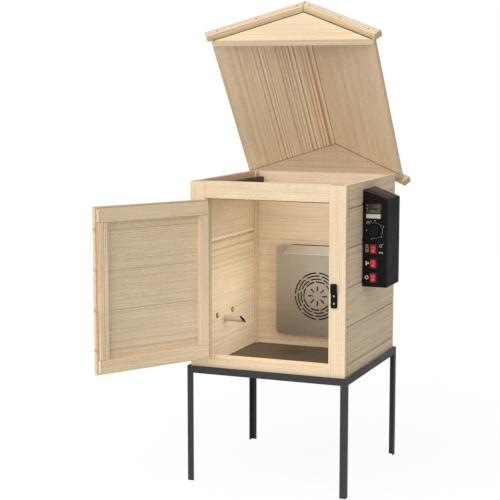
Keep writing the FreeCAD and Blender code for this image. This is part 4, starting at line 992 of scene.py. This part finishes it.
def flatStrokes(name, strokes, width, face, material, body, slot, lift=0.06):
    line = bpy.data.curves.new(name, "CURVE")
    line.dimensions = "3D"
    line.bevel_depth = width / 2 * mm
    line.bevel_resolution = 1
    line.use_fill_caps = True
    for points, closed in strokes:
        spline = line.splines.new("POLY")
        spline.points.add(len(points) - 1)
        for spot, (x, z) in zip(spline.points, points):
            spot.co = (x * mm, 0, z * mm, 1)
        spline.use_cyclic_u = closed
    holder = bpy.data.objects.new(name + "Line", line)
    bpy.context.scene.collection.objects.link(holder)
    depsgraph = bpy.context.evaluated_depsgraph_get()
    mesh = bpy.data.meshes.new_from_object(holder.evaluated_get(depsgraph))
    bpy.data.objects.remove(holder)
    sculpt = bmesh.new()
    sculpt.from_mesh(mesh)
    bmesh.ops.scale(sculpt, verts=sculpt.verts, vec=(1, lift * 2 / width, 1))
    bmesh.ops.translate(sculpt, verts=sculpt.verts, vec=(0, face * mm, 0))
    settle(name, sculpt, material, body)


def arcLine(x, z, radius, start, end, steps=24):
    angles = [math.radians(start + (end - start) * step / steps) for step in range(steps + 1)]
    return [(x + radius * math.cos(a), z + radius * math.sin(a)) for a in angles]


def ringLine(x, z, radius, steps=20):
    return arcLine(x, z, radius, 0, 360 - 360 / steps, steps - 1), True


def levelLine(x, z, half):
    return [(x - half, z), (x + half, z)], False


panel = {"face": -94.9, "dialX": 296.0, "dialZ": 810.3, "iconX": 271.0, "rockers": (752.8, 707.4, 662.6),
         "fine": 0.45, "bold": 0.95, "heavy": 2.1}
dialMarks = {"arc": (24.2, 118.0, -112.0, 60), "dot": {"radius": 1.35, "height": 0.08, "steps": 10},
             "dots": ((-27.3, 0.0), (-12.5, 27.0), (0.4, 30.5), (27.0, 13.0), (21.0, -19.0), (-10.6, -26.3))}
# A ring with a hand and a tick, a ring with a tick, and a pair of rings
cornerSigns = (
    ringLine(273.3, 833.8, 4.2), ([(273.3, 833.8), (275.2, 836.6)], False),
    ([(278.6, 838.6), (281.2, 840.6)], False), ringLine(314.6, 762.6, 4.0),
    ([(319.4, 767.2), (322.4, 768.6)], False), ringLine(312.0, 741.7, 2.3, 16),
    ringLine(319.6, 741.7, 2.3, 16))
heaterSign = {"half": 4.4, "foot": -10.0, "top": 3.6, "vents": (8.0, 11.4), "ring": (-4.0, 2.0, 16)}
fanSign = {"blades": 3, "blade": 3.3, "narrow": 0.6, "reach": 4.3, "lean": 0.9, "lift": 0.06,
           "segments": 16, "hub": {"radius": 1.2, "height": 0.08, "steps": 10}}
smokeRing = 4.9


def makePanelPrint():
    x, z, icon, face = panel["dialX"], panel["dialZ"], panel["iconX"], panel["face"]
    heaterZ, fanZ, smokeZ = panel["rockers"]
    place = (face, "panelPrint", "cabinet", "grey_plastic")
    flatStrokes("dialArc", [(arcLine(x, z, *dialMarks["arc"]), False)], panel["fine"], *place)
    # heater: a cabinet with a round element, and two vents over it
    look = heaterSign
    half, (ringZ, radius, steps) = look["half"], look["ring"]
    foot, top = heaterZ + look["foot"], heaterZ + look["top"]
    cabinet = [(icon - half, foot), (icon + half, foot), (icon + half, top), (icon - half, top)]
    bold = [*cornerSigns, (cabinet, True), ringLine(icon, heaterZ + ringZ, radius, steps)]
    bold += [levelLine(icon, heaterZ + height, half) for height in look["vents"]]
    flatStrokes("panelSigns", bold, panel["bold"], *place)
    flatStrokes("smokeSign", [ringLine(icon, smokeZ, smokeRing)], panel["heavy"], *place)
    sculpt = bmesh.new()
    for dx, dz in dialMarks["dots"]:
        addNail(sculpt, (x + dx, face, z + dz), front, dialMarks["dot"])
    look = fanSign
    middle = facing((icon, face, fanZ), front)
    for blade in range(look["blades"]):
        turn = math.tau * blade / look["blades"]
        reach = look["reach"] * mm
        spot = Matrix.Translation((reach * math.cos(turn), reach * math.sin(turn), look["lift"] * mm))
        lean = Matrix.Rotation(turn + look["lean"], 4, "Z")
        bmesh.ops.create_circle(sculpt, cap_ends=True, segments=look["segments"], radius=look["blade"] * mm,
                                matrix=middle @ spot @ lean @ sized(1.0, look["narrow"]))
    addNail(sculpt, (icon, face, fanZ), front, look["hub"])
    settle("panelDots", sculpt, "panelPrint", "cabinet")


# Each segment's ends as shares of a digit's width and height, and the segments that make each digit
segmentLines = {"a": ((0, 1), (1, 1)), "b": ((1, 1), (1, 0.5)), "c": ((1, 0.5), (1, 0)),
                "d": ((0, 0), (1, 0)), "e": ((0, 0), (0, 0.5)), "f": ((0, 0.5), (0, 1)),
                "g": ((0, 0.5), (1, 0.5))}
segmentSets = {"0": "abcdef", "5": "acdfg", "6": "acdefg", "8": "abcdefg"}
segmentGap = 0.14


def digitStrokes(figures, low, height):
    strokes = []
    for index, figure in enumerate(figures):
        left = display["left"] + index * display["pitch"]
        for segment in segmentSets.get(figure, ""):
            start, end = [Vector((left + across * display["width"], low + up * height))
                          for across, up in segmentLines[segment]]
            strokes.append(([start.lerp(end, segmentGap), end.lerp(start, segmentGap)], False))
    return strokes


display = {"face": -98.9, "left": 280.0, "width": 4.2, "pitch": 8.0, "lampX": 271.5,
           "lamps": (887.7, 879.0, 871.3), "lamp": {"radius": 1.2, "height": 0.12, "steps": 12}}
# Each row: its piece, figures, foot, height, thickness of stroke and material
displayRows = (("redDigitsLit", "  65", 881.4, 9.0, 1.15, "redDigits"),
               ("greenDigitsLit", "0060", 865.9, 7.4, 1.15, "greenDigits"),
               ("redDigitsUnlit", "88", 881.4, 9.0, 1.0, "unlitSegments"))


def makeDisplay():
    for name, figures, low, height, width, material in displayRows:
        flatStrokes(name, digitStrokes(figures, low, height), width, display["face"], material, "cabinet",
                    "dark_lens")
    sculpt = bmesh.new()
    for z in display["lamps"]:
        addNail(sculpt, (display["lampX"], display["face"], z), front, display["lamp"])
    settle("displayLamps", sculpt, "indicatorLamps", "cabinet")


keySigns = {"face": -99.5, "z": 854.9, "pitch": 11.6, "middle": 291.7, "width": 0.6, "lift": 0.04}
# Three bars, and arrows pointing left, down and up
keyStrokes = {
    "set_key": [[(-2.6, z), (2.6, z)] for z in (0.0, 2.2, -2.2)],
    "shift_key": [[(1.4, 2.6), (-1.4, 0), (1.4, -2.6)]],
    "down_key": [[(-2.6, 1.4), (0, -1.4), (2.6, 1.4)]],
    "up_key": [[(-2.6, -1.4), (0, 1.4), (2.6, -1.4)]],
}


def makeKeySigns():
    look = keySigns
    for index, (body, strokes) in enumerate(keyStrokes.items()):
        x = look["middle"] + look["pitch"] * (index - 1.5)
        placed = [([(x + dx, look["z"] + dz) for dx, dz in points], False) for points in strokes]
        flatStrokes(body + "Sign", placed, look["width"], look["face"], "keyInk", body, "black_plastic",
                    look["lift"])


rockerMarks = {"bar": 4.2, "width": 0.8, "ring": 1.7, "bore": 0.56, "segments": 18, "lift": 0.08,
               "facing": -0.85}


def rockerFaces(nodeName):
    # the two broad faces of the shallow V in front, the lower one first
    broad = [face for face in pieceByNode[nodeName].data.polygons if face.normal.y < rockerMarks["facing"]]
    pair = sorted(broad, key=lambda face: -face.area)[:2]
    return [facing(face.center / mm, face.normal) for face in sorted(pair, key=lambda face: face.center.z)]


def makeRockerMarks():
    look = rockerMarks
    lift = Matrix.Translation((0, 0, look["lift"] * mm))
    for nodeName, body in rockerBodies.items():
        lowFace, highFace = rockerFaces(nodeName)
        sculpt = bmesh.new()
        bmesh.ops.create_circle(sculpt, segments=look["segments"], radius=look["ring"] * mm)
        drawRing(sculpt, list(sculpt.edges), look["bore"], 0)
        bmesh.ops.transform(sculpt, matrix=lowFace @ lift, verts=sculpt.verts)
        bmesh.ops.create_grid(sculpt, x_segments=1, y_segments=1, size=0.5,
                              matrix=highFace @ lift @ sized(look["width"] * mm, look["bar"] * mm))
        settle(nodeName + "Marks", sculpt, "panelPrint", body)


makePanelPrint()
makeDisplay()
makeKeySigns()
makeRockerMarks()
print("control box marks printed")


# Floor, light and camera

def seenRays(tree):
    # 1 for rays from the camera, a gloss or a clear piece, and 0 for the rest, which carry light
    rays = addNode(tree, "LightPath").outputs
    return calc(tree, "MAXIMUM", rays["Is Camera Ray"],
                calc(tree, "MAXIMUM", rays["Is Glossy Ray"], rays["Is Transmission Ray"]))


def mixShaders(tree, factor, first, second, end):
    mixed = addNode(tree, "MixShader", {0: factor, 1: first.outputs[0], 2: second.outputs[0]})
    plugIn(tree, tree.nodes[end].inputs, {"Surface": mixed.outputs[0]})


white = (1.0, 1.0, 1.0, 1.0)
floorLook = {"half": 6.0, "level": -0.2, "base": (0.85, 0.85, 0.85, 1.0), "rough": 0.9, "glow": 1.045,
             "seen": 0.88}


def makeFloor():
    look = floorLook
    material, tree, shader = newMaterial("paleFloor")
    finish(tree, shader, {"Base Color": look["base"], "Roughness": look["rough"], "Specular IOR Level": 0.0})
    glow = addNode(tree, "Emission", {"Color": white, "Strength": look["glow"]})
    mixShaders(tree, times(tree, seenRays(tree), look["seen"]), shader, glow, "Material Output")
    surfaces["paleFloor"] = material
    sculpt = bmesh.new()
    bmesh.ops.create_grid(sculpt, x_segments=1, y_segments=1, size=look["half"],
                          matrix=Matrix.Translation((0, 0, look["level"] * mm)))
    makePiece("paleFloor", sculpt, "paleFloor", 35)


studio = {"ambient": 0.31, "keyPower": 2.5, "keySoftness": 85.0, "keyHeight": 39.0, "keySide": -13.0,
          "fillPower": 0.53, "fillSpread": 100.0, "fillSize": (0.34, 0.4), "fillColour": (0.92, 0.98, 1.0),
          "fillPlace": (0.2, -0.03, 0.57), "fillAim": (-0.24, -0.03, 0.5)}


def placeInScene(name, item):
    placed = bpy.data.objects.new(name, item)
    bpy.context.scene.collection.objects.link(placed)
    return placed


def makeLight():
    world = bpy.data.worlds.new("studioWorld")
    bpy.context.scene.world = world
    world.use_nodes = True
    tree = world.node_tree
    around = tree.nodes["Background"]
    plugIn(tree, around.inputs, {"Color": white, "Strength": studio["ambient"]})
    backdrop = addNode(tree, "Background", {"Color": white, "Strength": 1.0})
    mixShaders(tree, seenRays(tree), around, backdrop, "World Output")
    key = bpy.data.lights.new("softKey", "SUN")
    key.energy = studio["keyPower"]
    key.angle = math.radians(studio["keySoftness"])
    lamp = placeInScene("softKey", key)
    lamp.rotation_euler = (math.radians(90 - studio["keyHeight"]), 0, math.radians(studio["keySide"]))
    # a soft panel on the inner face of the right wall lifts the chamber
    inner = bpy.data.lights.new("chamberFill", "AREA")
    inner.shape = "RECTANGLE"
    inner.size, inner.size_y = studio["fillSize"]
    inner.spread = math.radians(studio["fillSpread"])
    inner.energy = studio["fillPower"]
    inner.color = studio["fillColour"]
    fill = placeInScene("chamberFill", inner)
    fill.location = studio["fillPlace"]
    aim = Vector(studio["fillAim"]) - Vector(studio["fillPlace"])
    fill.rotation_euler = aim.to_track_quat("-Z", "Y").to_euler()
    fill.visible_camera = False
    fill.visible_glossy = False


viewpoint = {"lens": 96.24, "sensor": 36.0, "place": (1.49195, -4.0445, 1.27771), "up": 82.677,
             "turn": 22.222}


def makeCamera():
    lens = bpy.data.cameras.new("viewCamera")
    lens.lens = viewpoint["lens"]
    lens.sensor_width = viewpoint["sensor"]
    camera = placeInScene("viewCamera", lens)
    camera.location = viewpoint["place"]
    camera.rotation_euler = (math.radians(viewpoint["up"]), 0, math.radians(viewpoint["turn"]))
    bpy.context.scene.camera = camera


makeFloor()
makeLight()
makeCamera()
bpy.context.scene.view_settings.view_transform = "Standard"
print("floor, light and camera ready")
